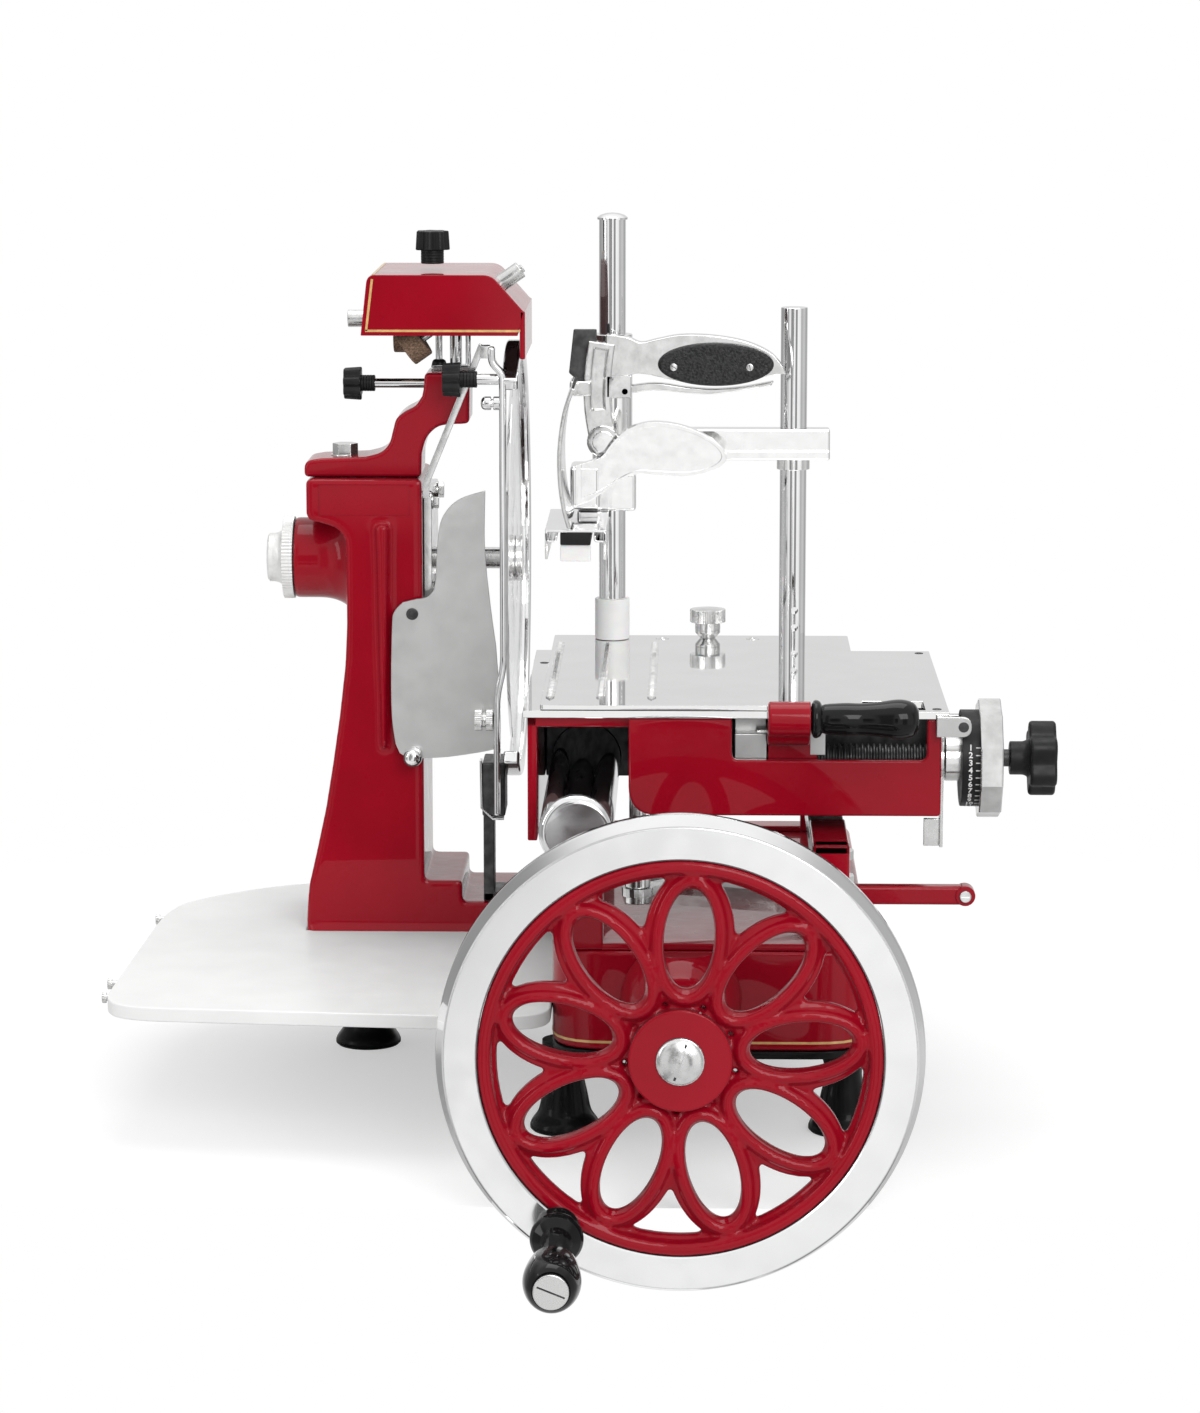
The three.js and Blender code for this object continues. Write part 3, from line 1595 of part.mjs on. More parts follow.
function pressCarrier() {
  const sleeve = place(pipe(pressSleeve, postRadius + fit, pressBottom, pressTop, 'z', 18),
    leftPostX, postY, 0);
  const armLow = crossArmZ - crossArmHeight / 2;
  const armHigh = crossArmZ + crossArmHeight / 2;
  const arm = block(leftPostX + pressSleeve - 3, rightPostX + 27, postY - 8, postY + 8, armLow, armHigh);
  const collar = place(bar(pressSleeve, armLow - 7, armHigh, 'z', 18), rightPostX, postY, 0);
  const rightBore = place(bar(postRadius + fit, armLow - 9, armHigh + 1, 'z', 18), rightPostX, postY, 0);
  const saddle = block(leftPostX - 26, leftPostX + 18, carrierFront, postY - 8, pressBottom, pressBottom + 28);
  const leftBore = place(bar(postRadius + fit, pressBottom - 1, pressTop + 1, 'z', 18), leftPostX, postY, 0);
  const pin = place(bar(pivotRadius, linkFront - 2, postY - pressSleeve + 4, 'y', 20), pivotX, 0, pivotZ);
  const pinHead = place(bar(pivotRadius + 3, linkFront - 2.6, linkFront - fit, 'y', 20), pivotX, 0, pivotZ);
  return join(cut(join(sleeve, arm, collar, saddle), rightBore, leftBore), pin, pinHead);
}

function leafHandle() {
  const shape = new THREE.Shape();
  shape.moveTo(2, 415);
  shape.quadraticCurveTo(30, 424, 46, 436);
  shape.quadraticCurveTo(80, 432, 100, 437);
  shape.quadraticCurveTo(112, 441, 112, 450);
  shape.quadraticCurveTo(98, 476, 60, 477);
  shape.quadraticCurveTo(34, 476, 22, 452);
  shape.lineTo(2, 446);
  const root = block(-2, 20, leafFront, carrierFront + 1, 413, 446);
  return join(alongY(shape, leafFront, leafBack, 6), root);
}

// Toothed grip plates under the carrier
function toothPlate() {
  const top = block(-18, 26, carrierFront - pressDepth + 20, postY - pressSleeve - 2, 401,
    pressBottom + 1);
  const left = block(-18, -15, carrierFront - pressDepth + 20, postY - pressSleeve - 2, 386, 402);
  const right = block(23, 26, carrierFront - pressDepth + 20, postY - pressSleeve - 2, 386, 402);
  return join(left, top, right);
}

piece('press_carrier', join(pressCarrier(), leafHandle(), toothPlate()), 'chrome');

// Presser that swings on the carrier: link, upper handle with scales, curved plate

function presserLink() {
  const body = alongY(
    ribbon([[pivotX, pivotZ], [pivotX - 4, 500], [pivotX - 2, 536]], 20),
    linkFront + 2,
    pivotFront,
  );
  const boss = place(bar(12, linkFront, pivotFront, 'y', 24), pivotX, 0, pivotZ);
  const bore = place(bar(pivotRadius + fit, linkFront - 1, pivotFront + 1, 'y', 20), pivotX, 0, pivotZ);
  return cut(join(body, boss), bore);
}

const upperHandle = alongY(outline([[24, 508], [52, 512], [100, 506], [130, 508], [150, 514],
  [157, 512], [148, 526], [120, 538], [80, 540], [52, 533], [38, 541], [24, 541]]),
linkFront + 3, pivotFront - 1);

function handleScale() {
  const shape = new THREE.Shape();
  shape.absellipse(102, 518, 42, 13.5, 0, 2 * Math.PI);
  return alongY(shape, linkFront - 3, linkFront + 4, 12);
}

function presserPlate() {
  const shape = ribbon([[3, 512], [-4, 490], [-7, 460], [-5, 430], [0, 412]], 3.5);
  const sheet = alongY(shape, carrierFront - pressDepth, leafFront - 3, 8);
  const tie = block(-2, 14, leafFront - 8, linkFront + 10, 498, 509);
  return join(sheet, tie);
}

const squeezeX = 38;
const squeezeZ = 499;
const squeezeBack = pivotFront - 2;

function squeezeLug() {
  const lug = block(24, squeezeX + 5, linkFront + 2, linkFront + 6, squeezeZ - 5, squeezeZ + 12);
  return cut(lug, place(bar(2.5 + fit, linkFront, linkFront + 8, 'y', smallSteps), squeezeX, 0, squeezeZ));
}

const presser = join(presserLink(), upperHandle, handleScale(), presserPlate(), squeezeLug());
piece('presser_handle', presser, 'chrome');

function squeezeLever() {
  const blade = alongY(outline([[36, 496], [60, 500], [100, 496], [146, 503], [148, 507], [110, 501],
    [60, 505], [36, 502]]), linkFront + 6 + fit, squeezeBack);
  const pin = place(bar(2.5, linkFront + 2, squeezeBack, 'y', smallSteps), squeezeX, 0, squeezeZ);
  return join(blade, pin);
}

piece('squeeze_lever', squeezeLever(), 'chrome');

export default slicer;
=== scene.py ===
"""Looks of a hand cranked flywheel meat slicer, built around its fixed frame."""

import math

import bpy
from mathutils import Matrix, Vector


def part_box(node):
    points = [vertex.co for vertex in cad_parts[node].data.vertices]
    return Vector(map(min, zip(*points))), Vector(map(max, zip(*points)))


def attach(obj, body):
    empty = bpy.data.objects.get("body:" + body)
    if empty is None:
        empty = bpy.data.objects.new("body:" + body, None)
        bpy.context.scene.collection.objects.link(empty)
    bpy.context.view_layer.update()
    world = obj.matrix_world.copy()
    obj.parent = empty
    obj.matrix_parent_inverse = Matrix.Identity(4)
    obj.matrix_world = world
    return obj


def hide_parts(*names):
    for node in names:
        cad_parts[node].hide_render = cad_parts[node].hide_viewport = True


bl_info = {
    "name": "Flywheel Slicer",
    "version": (1, 0, 0),
    "blender": (4, 5, 0),
    "location": "3D View > Sidebar > Slicer",
    "description": "Builds the painted and polished pieces of a hand cranked meat slicer",
    "category": "Object",
}

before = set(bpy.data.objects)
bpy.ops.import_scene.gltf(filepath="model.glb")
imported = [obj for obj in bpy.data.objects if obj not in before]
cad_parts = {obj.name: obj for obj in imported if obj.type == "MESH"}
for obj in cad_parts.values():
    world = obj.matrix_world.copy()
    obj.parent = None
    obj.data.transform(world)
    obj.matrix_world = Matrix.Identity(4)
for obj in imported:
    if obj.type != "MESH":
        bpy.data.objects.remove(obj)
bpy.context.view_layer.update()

# Lengths below are millimetres; the scene is in metres
MM = 0.001
WELD = 0.01 * MM
ROUND_STEPS = 96
SMALL_STEPS = 40
PROUD = 0.25
AXES = {"x": (1, 0, 0), "y": (0, 1, 0), "z": (0, 0, 1)}

# Turns that bring a piece drawn upright to an axis
TURNS = {"x": (0, 90, 0), "z": (0, 0, 0), "-z": (180, 0, 0)}
# The x of the left and of the right post with the y of both, and a point on the blade's axis
POSTS = (28, 163.5, 268)
BLADE_AXIS = (0, 240, 373)

class SlicerSizes(bpy.types.PropertyGroup):
    """Sizes of the surface detail that a user would change."""

    casting_edge: bpy.props.FloatProperty(
        name="Casting edge", description="Rounding along the edges of the painted castings",
        default=0.004, min=0.0005, max=0.01, unit="LENGTH")
    casting_grain: bpy.props.FloatProperty(
        name="Casting grain", description="Size of the faces that a casting is melted into",
        default=0.0015, min=0.001, max=0.004, unit="LENGTH")
    machined_edge: bpy.props.FloatProperty(
        name="Machined edge", description="Small rounding along the edges of machined steel",
        default=0.0006, min=0.0001, max=0.002, unit="LENGTH")
    line_width: bpy.props.FloatProperty(
        name="Line width", description="Width of the painted gold line",
        default=0.0017, min=0.0005, max=0.004, unit="LENGTH")
    digit_height: bpy.props.FloatProperty(
        name="Digit height", description="Height of the numbers on the thickness dial",
        default=0.0052, min=0.002, max=0.008, unit="LENGTH")


class SlicerColours(bpy.types.PropertyGroup):
    """Colours of the finishes."""

    red: bpy.props.FloatVectorProperty(
        name="Red enamel", description="Colour of the painted castings",
        subtype="COLOR", size=4, default=(0.315, 0.0012, 0.0115, 1))
    gold: bpy.props.FloatVectorProperty(
        name="Gold line", description="Colour of the painted line",
        subtype="COLOR", size=4, default=(0.72, 0.46, 0.17, 1))
    black: bpy.props.FloatVectorProperty(
        name="Black", description="Colour of the black enamel and grips",
        subtype="COLOR", size=4, default=(0.0045, 0.0045, 0.005, 1))
    board: bpy.props.FloatVectorProperty(
        name="Board", description="Colour of the white receiving board",
        subtype="COLOR", size=4, default=(0.88, 0.88, 0.875, 1))
    steel: bpy.props.FloatVectorProperty(
        name="Steel", description="Colour of the bare steel",
        subtype="COLOR", size=4, default=(0.78, 0.78, 0.775, 1))
    stone: bpy.props.FloatVectorProperty(
        name="Stone", description="Colour of the sharpening stones",
        subtype="COLOR", size=4, default=(0.17, 0.105, 0.07, 1))


def size(name):
    """One of the sizes, in millimetres."""
    return getattr(bpy.context.scene.slicer_sizes, name) / MM


def colour(name):
    """One of the colours, as a tuple."""
    return tuple(getattr(bpy.context.scene.slicer_colours, name))


class Span:
    """The box of a CAD node in millimetres."""

    def __init__(self, node):
        low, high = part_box(node)
        self.x0, self.y0, self.z0 = (value / MM for value in low)
        self.x1, self.y1, self.z1 = (value / MM for value in high)
        self.cx = (self.x0 + self.x1) / 2
        self.cy = (self.y0 + self.y1) / 2
        self.cz = (self.z0 + self.z1) / 2


# Selection and edit mode


def object_mode():
    """Leaves edit mode, if it is on."""
    if bpy.context.object is not None and bpy.context.object.mode != "OBJECT":
        bpy.ops.object.mode_set(mode="OBJECT")


def select_only(*objects):
    """Selects these objects alone; the first one is the active one."""
    object_mode()
    bpy.ops.object.select_all(action="DESELECT")
    for item in objects:
        item.select_set(True)
    bpy.context.view_layer.objects.active = objects[0]


def edit(obj):
    """Opens the object in edit mode with all of its mesh selected."""
    select_only(obj)
    bpy.ops.object.mode_set(mode="EDIT")
    bpy.ops.mesh.select_all(action="SELECT")


def close_mesh():
    """Welds the open mesh, points its faces outwards and leaves edit mode."""
    bpy.ops.mesh.select_all(action="SELECT")
    bpy.ops.mesh.remove_doubles(threshold=WELD)
    bpy.ops.mesh.normals_make_consistent(inside=False)
    object_mode()


# Outlines


def rounded(points, closed=True, steps=6):
    """The line with each corner that names a reach, as its third number, drawn round."""
    line = []
    count = len(points)
    for index, point in enumerate(points):
        corner = Vector(point[:2])
        reach = point[2] if len(point) > 2 else 0
        if reach == 0 or (not closed and index in (0, count - 1)):
            line.append(tuple(corner))
            continue
        before = Vector(points[index - 1][:2]) - corner
        after = Vector(points[(index + 1) % count][:2]) - corner
        start = corner + before.normalized() * min(reach, 0.48 * before.length)
        end = corner + after.normalized() * min(reach, 0.48 * after.length)
        for step in range(steps + 1):
            share = step / steps
            spot = start * (1 - share) ** 2 + corner * 2 * share * (1 - share) + end * share ** 2
            line.append(tuple(spot))
    return line


def flowing(points, steps=6):
    """A smooth line through all the points."""
    line = []
    for index in range(len(points) - 1):
        before = Vector(points[max(index - 1, 0)])
        start = Vector(points[index])
        end = Vector(points[index + 1])
        after = Vector(points[min(index + 2, len(points) - 1)])
        for step in range(steps):
            t = step / steps
            spot = 0.5 * (2 * start + (end - before) * t + (2 * before - 5 * start + 4 * end - after) * t * t
                          + (3 * start - before - 3 * end + after) * t ** 3)
            line.append(tuple(spot))
    line.append(tuple(points[-1]))
    return line


def arc(centre_u, centre_v, radius, start, end, steps=24):
    """Points on an arc; the angles are degrees."""
    angles = [math.radians(start + (end - start) * step / steps) for step in range(steps + 1)]
    return [(centre_u + radius * math.cos(a), centre_v + radius * math.sin(a)) for a in angles]


def ellipse(centre_u, centre_v, half_width, half_height, steps=56):
    """A closed ellipse."""
    angles = [2 * math.pi * step / steps for step in range(steps)]
    return [(centre_u + half_width * math.cos(a), centre_v + half_height * math.sin(a)) for a in angles]


def box_outline(u0, u1, v0, v1, corner=0):
    """A rectangle with round corners."""
    return rounded([(u0, v0, corner), (u1, v0, corner), (u1, v1, corner), (u0, v1, corner)])


def lobed(radius, lobes, depth, steps_per_lobe=10, sharpness=1.0):
    """The outline of a fluted knob."""
    line = []
    for index in range(lobes * steps_per_lobe):
        angle = 2 * math.pi * index / (lobes * steps_per_lobe)
        dip = (0.5 - 0.5 * math.cos(lobes * angle)) ** sharpness
        line.append(((radius - depth * dip) * math.cos(angle), (radius - depth * dip) * math.sin(angle)))
    return line


def band(points, width):
    """The outline of a flat strip of even width along a line of points."""
    line = [Vector(point[:2]) for point in points]
    left, right = [], []
    for index, here in enumerate(line):
        along = (line[min(index + 1, len(line) - 1)] - line[max(index - 1, 0)]).normalized()
        side = Vector((-along.y, along.x)) * width / 2
        left.append(tuple(here + side))
        right.append(tuple(here - side))
    return left + right[::-1]


# Bodies


def trace(name, points):
    """A new object, left in edit mode, whose mesh is a line of edges through the points."""
    object_mode()
    bpy.ops.object.select_all(action="DESELECT")
    bpy.ops.mesh.primitive_plane_add(size=MM, enter_editmode=True, location=(0, 0, 0))
    obj = bpy.context.object
    obj.name = name
    bpy.ops.mesh.merge(type="CENTER")
    here = Vector(points[0]) * MM
    bpy.ops.transform.translate(value=here)
    for point in points[1:]:
        there = Vector(point) * MM
        bpy.ops.mesh.extrude_region_move(TRANSFORM_OT_translate={"value": there - here})
        here = there
    bpy.ops.mesh.select_all(action="SELECT")
    bpy.ops.mesh.remove_doubles(threshold=WELD)
    return obj


def solid(name, outline, axis, start, end):
    """A closed outline drawn square to an axis and extruded along it."""
    spread = {
        "x": lambda u, v: (start, u, v),
        "y": lambda u, v: (u, start, v),
        "z": lambda u, v: (u, v, start)}
    points = [spread[axis](*point) for point in outline]
    obj = trace(name, points + points[:1])
    bpy.ops.mesh.edge_face_add()
    depth = Vector(AXES[axis]) * (end - start) * MM
    bpy.ops.mesh.extrude_region_move(TRANSFORM_OT_translate={"value": depth})
    bpy.ops.mesh.select_all(action="SELECT")
    bpy.ops.mesh.fill_holes(sides=0)
    close_mesh()
    return obj


def turned(name, profile, axis, centre, steps=ROUND_STEPS):
    """A profile of radius and station spun about an axis through the centre."""
    spread = {"x": lambda r, s: (s, r, 0), "y": lambda r, s: (r, s, 0), "z": lambda r, s: (r, 0, s)}
    middle = Vector(centre)
    obj = trace(name, [Vector(spread[axis](*point)) + middle for point in profile])
    bpy.ops.mesh.spin(steps=steps, angle=2 * math.pi, center=middle * MM, axis=AXES[axis])
    close_mesh()
    return obj


def rod(name, radius, start, end, axis, centre, edge=0.6, steps=SMALL_STEPS):
    """A round bar with broken edges."""
    profile = rounded([(0, start), (radius, start, edge), (radius, end, edge), (0, end)], False, 3)
    return turned(name, profile, axis, centre, steps)


def ring(name, outer, inner, start, end, axis, centre, edge=0.6, steps=ROUND_STEPS):
    """A tube with broken edges."""
    corners = [(inner, start, edge), (outer, start, edge), (outer, end, edge), (inner, end, edge)]
    line = rounded(corners, True, 3)
    return turned(name, line + line[:1], axis, centre, steps)


def block(name, x0, x1, y0, y1, z0, z1, edge=0.6, segments=2):
    """A box with broken edges."""
    obj = solid(name, box_outline(x0, x1, y0, y1), "z", z0, z1)
    if edge:
        soften(obj, edge, segments)
    return obj


def apply_modifier(obj, kind, **settings):
    """Adds a modifier with these settings and applies it."""
    select_only(obj)
    bpy.ops.object.modifier_add(type=kind)
    modifier = obj.modifiers[-1]
    for name, value in settings.items():
        setattr(modifier, name, value)
    bpy.ops.object.modifier_apply(modifier=modifier.name)
    return obj


def soften(obj, width, segments=3, angle=30):
    """Rounds the edges that turn by more than the angle."""
    return apply_modifier(obj, "BEVEL", width=width * MM, segments=segments, limit_method="ANGLE",
                          angle_limit=math.radians(angle))


def carve(obj, *cutters):
    """Cuts the cutters out of the object and deletes them."""
    for cutter in cutters:
        apply_modifier(obj, "BOOLEAN", operation="DIFFERENCE", object=cutter, solver="EXACT")
        select_only(cutter)
        bpy.ops.object.delete()
    return obj


def joined(name, *objects):
    """One object that holds the meshes of all of these."""
    select_only(*objects)
    if len(objects) > 1:
        bpy.ops.object.join()
    objects[0].name = name
    return objects[0]


def cast(obj, grain, rounds):
    """Melts overlapping bodies into one casting with soft inner corners."""
    apply_modifier(obj, "REMESH", mode="VOXEL", voxel_size=grain * MM)
    return apply_modifier(obj, "SMOOTH", factor=0.5, iterations=rounds)


def copied(obj, name):
    """A copy with its own mesh."""
    select_only(obj)
    bpy.ops.object.duplicate(linked=False)
    bpy.context.object.name = name
    return bpy.context.object


def placed(obj, move=(0, 0, 0), turn=(0, 0, 0)):
    """Turns the object about the origin by degrees, moves it, and puts its place in its mesh."""
    select_only(obj)
    obj.rotation_euler = [math.radians(angle) for angle in turn]
    obj.location = Vector(move) * MM
    bpy.ops.object.transform_apply(location=True, rotation=True, scale=True)
    return obj


def dress(obj, body, finish, replaces=(), smooth=32):
    """Shades the piece, gives it its finish and lets it ride on its body."""
    select_only(obj)
    bpy.ops.object.shade_smooth_by_angle(angle=math.radians(smooth))
    apply_modifier(obj, "WEIGHTED_NORMAL", keep_sharp=True)
    obj.data.materials.clear()
    obj.data.materials.append(material(finish))
    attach(obj, body)
    if replaces:
        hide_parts(*replaces)
    return obj


def coat(node, finish):
    """Gives a CAD node that stays visible its finish."""
    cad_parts[node].material_slots[0].material = material(finish)


# Shader node groups


def new_group(name, inputs, outputs):
    """An empty shader group with its sockets, and its two end nodes."""
    tree = bpy.data.node_groups.new(name, "ShaderNodeTree")
    for label, kind, value in inputs:
        socket = tree.interface.new_socket(name=label, in_out="INPUT", socket_type=kind)
        if value is not None:
            socket.default_value = value
    for label, kind in outputs:
        tree.interface.new_socket(name=label, in_out="OUTPUT", socket_type=kind)
    return tree, tree.nodes.new("NodeGroupInput"), tree.nodes.new("NodeGroupOutput")


def feed(tree, given, socket):
    """Links the socket to another one, or sets its value."""
    if isinstance(given, bpy.types.NodeSocket):
        tree.links.new(given, socket)
    else:
        socket.default_value = given


def noise_node(tree, vector, scale, detail):
    """The height of a noise texture; its scale is a socket or a number."""
    node = tree.nodes.new("ShaderNodeTexNoise")
    node.inputs["Detail"].default_value = detail
    tree.links.new(vector, node.inputs["Vector"])
    feed(tree, scale, node.inputs["Scale"])
    return node.outputs["Fac"]


def range_node(tree, value, low, high, start=0.35, stop=0.65, interpolation="LINEAR"):
    """Maps a range, at first the middle of a noise, to the one between two sockets or numbers."""
    node = tree.nodes.new("ShaderNodeMapRange")
    node.interpolation_type = interpolation
    sides = {"Value": value, "From Min": start, "From Max": stop, "To Min": low, "To Max": high}
    for label, given in sides.items():
        feed(tree, given, node.inputs[label])
    return node.outputs["Result"]


def mix_node(tree, factor, first, second):
    """A colour mix; the factor and both sides are sockets or values."""
    node = tree.nodes.new("ShaderNodeMix")
    node.data_type = "RGBA"
    colours = [socket for socket in node.inputs if socket.type == "RGBA"]
    for socket, given in zip([node.inputs["Factor"], *colours], (factor, first, second)):
        feed(tree, given, socket)
    return [socket for socket in node.outputs if socket.type == "RGBA"][0]


def maths_node(tree, operation, *sides):
    """A maths node; its sides are sockets or numbers."""
    node = tree.nodes.new("ShaderNodeMath")
    node.operation = operation
    for given, socket in zip(sides, node.inputs):
        feed(tree, given, socket)
    return node.outputs["Value"]


def grain_group():
    """Fine grain: a height for bumps."""
    tree, start, end = new_group(
        "slicer_grain",
        [("Vector", "NodeSocketVector", None), ("Scale", "NodeSocketFloat", 800.0)],
        [("Height", "NodeSocketFloat")])
    noise = noise_node(tree, start.outputs["Vector"], start.outputs["Scale"], 4.0)
    tree.links.new(noise, end.inputs["Height"])


def brush_group():
    """Brush lines: noise drawn out along one direction."""
    tree, start, end = new_group(
        "slicer_brush",
        [("Vector", "NodeSocketVector", None), ("Stretch", "NodeSocketVector", (1.0, 1.0, 1.0))],
        [("Height", "NodeSocketFloat")])
    mapping = tree.nodes.new("ShaderNodeVectorMath")
    mapping.operation = "MULTIPLY"
    tree.links.new(start.outputs["Vector"], mapping.inputs[0])
    tree.links.new(start.outputs["Stretch"], mapping.inputs[1])
    tree.links.new(noise_node(tree, mapping.outputs["Vector"], 1.0, 3.0), end.inputs["Height"])


def haze_group():
    """Handling haze: a roughness that drifts slowly between two values."""
    tree, start, end = new_group(
        "slicer_haze",
        [("Vector", "NodeSocketVector", None), ("Scale", "NodeSocketFloat", 30.0),
         ("Low", "NodeSocketFloat", 0.1), ("High", "NodeSocketFloat", 0.2)],
        [("Roughness", "NodeSocketFloat")])
    noise = noise_node(tree, start.outputs["Vector"], start.outputs["Scale"], 5.0)
    result = range_node(tree, noise, start.outputs["Low"], start.outputs["High"])
    tree.links.new(result, end.inputs["Roughness"])


def drift_group():
    """Slow drift between two close colours."""
    tree, start, end = new_group(
        "slicer_drift",
        [("Vector", "NodeSocketVector", None), ("Scale", "NodeSocketFloat", 20.0),
         ("First", "NodeSocketColor", (0.5, 0.5, 0.5, 1)), ("Second", "NodeSocketColor",
                                                            (0.5, 0.5, 0.5, 1))],
        [("Colour", "NodeSocketColor")])
    noise = noise_node(tree, start.outputs["Vector"], start.outputs["Scale"], 3.0)
    blend = range_node(tree, noise, 0.0, 1.0)
    mixed = mix_node(tree, blend, start.outputs["First"], start.outputs["Second"])
    tree.links.new(mixed, end.inputs["Colour"])


# Materials


class Finish:
    """One material: its node tree, its shader and its Object coordinates."""

    def __init__(self, name):
        base, roughness, metallic, effects = FINISHES[name][1:]
        self.base = colour(base) if isinstance(base, str) else base
        made = bpy.data.materials.new("slicer_" + name)
        made.use_nodes = True
        self.tree = made.node_tree
        self.shader = self.tree.nodes["Principled BSDF"]
        self.place = self.tree.nodes.new("ShaderNodeTexCoord").outputs["Object"]
        self.shader.inputs["Base Color"].default_value = self.base
        self.shader.inputs["Roughness"].default_value = roughness
        self.shader.inputs["Metallic"].default_value = metallic
        for effect, values in effects.items():
            getattr(self, effect)(*values)

    def group(self, name, **values):
        """Places one of the shader groups and sets its inputs."""
        node = self.tree.nodes.new("ShaderNodeGroup")
        node.node_tree = bpy.data.node_groups[name]
        self.tree.links.new(self.place, node.inputs["Vector"])
        for label, value in values.items():
            node.inputs[label].default_value = value
        return node

    def drift(self, first, second, feature):
        """Lets the base colour drift between two colours or two shades of it; feature is the patch size."""
        if not isinstance(first, tuple):
            first, second = shade_of(self.base, first), shade_of(self.base, second)
        node = self.group("slicer_drift", Scale=1 / (feature * MM), First=first, Second=second)
        self.tree.links.new(node.outputs["Colour"], self.shader.inputs["Base Color"])

    def haze(self, low, high, feature):
        """Lets the roughness drift between two values."""
        node = self.group("slicer_haze", Scale=1 / (feature * MM), Low=low, High=high)
        self.tree.links.new(node.outputs["Roughness"], self.shader.inputs["Roughness"])

    def bump(self, height, strength, distance):
        """Feeds a height to the shader's normal; distance is in millimetres."""
        node = self.tree.nodes.new("ShaderNodeBump")
        node.inputs["Strength"].default_value = strength
        node.inputs["Distance"].default_value = distance * MM
        self.tree.links.new(height, node.inputs["Height"])
        self.tree.links.new(node.outputs["Normal"], self.shader.inputs["Normal"])

    def clear(self, weight, roughness):
        """A clear coat."""
        self.shader.inputs["Coat Weight"].default_value = weight
        self.shader.inputs["Coat Roughness"].default_value = roughness

    def specular(self, level):
        """How strongly the surface under the coat mirrors."""
        self.shader.inputs["Specular IOR Level"].default_value = level

    def milky(self, weight, depth):
        """Light that spreads under the surface; depth is in millimetres."""
        self.shader.inputs["Subsurface Weight"].default_value = weight
        self.shader.inputs["Subsurface Scale"].default_value = depth * MM

    def gloss(self, facing, grazing):
        """A clear coat that is weak where it faces the eye and full where the surface turns away."""
        layer = self.tree.nodes.new("ShaderNodeLayerWeight")
        layer.inputs["Blend"].default_value = 0.35
        weight = range_node(self.tree, layer.outputs["Facing"], facing, grazing, 0.0, 1.0)
        self.tree.links.new(weight, self.shader.inputs["Coat Weight"])

    def muted(self, neutral, mirrored, bounced):
        """Holds back the colour that the surface lends to mirrors and to its neighbours."""
        path = self.tree.nodes.new("ShaderNodeLightPath")
        base = self.shader.inputs["Base Color"].links[0].from_socket
        for ray, share in (("Is Glossy Ray", mirrored), ("Is Diffuse Ray", bounced)):
            amount = maths_node(self.tree, "MULTIPLY", path.outputs[ray], share)
            base = mix_node(self.tree, amount, base, neutral)
        self.tree.links.new(base, self.shader.inputs["Base Color"])

    def grain(self, feature, strength, distance):
        """Fine grain as a bump."""
        node = self.group("slicer_grain", Scale=1 / (feature * MM))
        self.bump(node.outputs["Height"], strength, distance)

    def brush(self, stretch, strength, distance):
        """Brush lines as a bump; stretch is the number of lines in a metre along each axis."""
        node = self.group("slicer_brush", Stretch=stretch)
        self.bump(node.outputs["Height"], strength, distance)


def shade_of(base, factor):
    """The colour made darker or lighter."""
    return tuple(min(value * factor, 1.0) for value in base[:3]) + (1.0,)


def grey(level, blue=None):
    """A grey; its blue may differ a little."""
    return (level, level, level if blue is None else blue, 1)


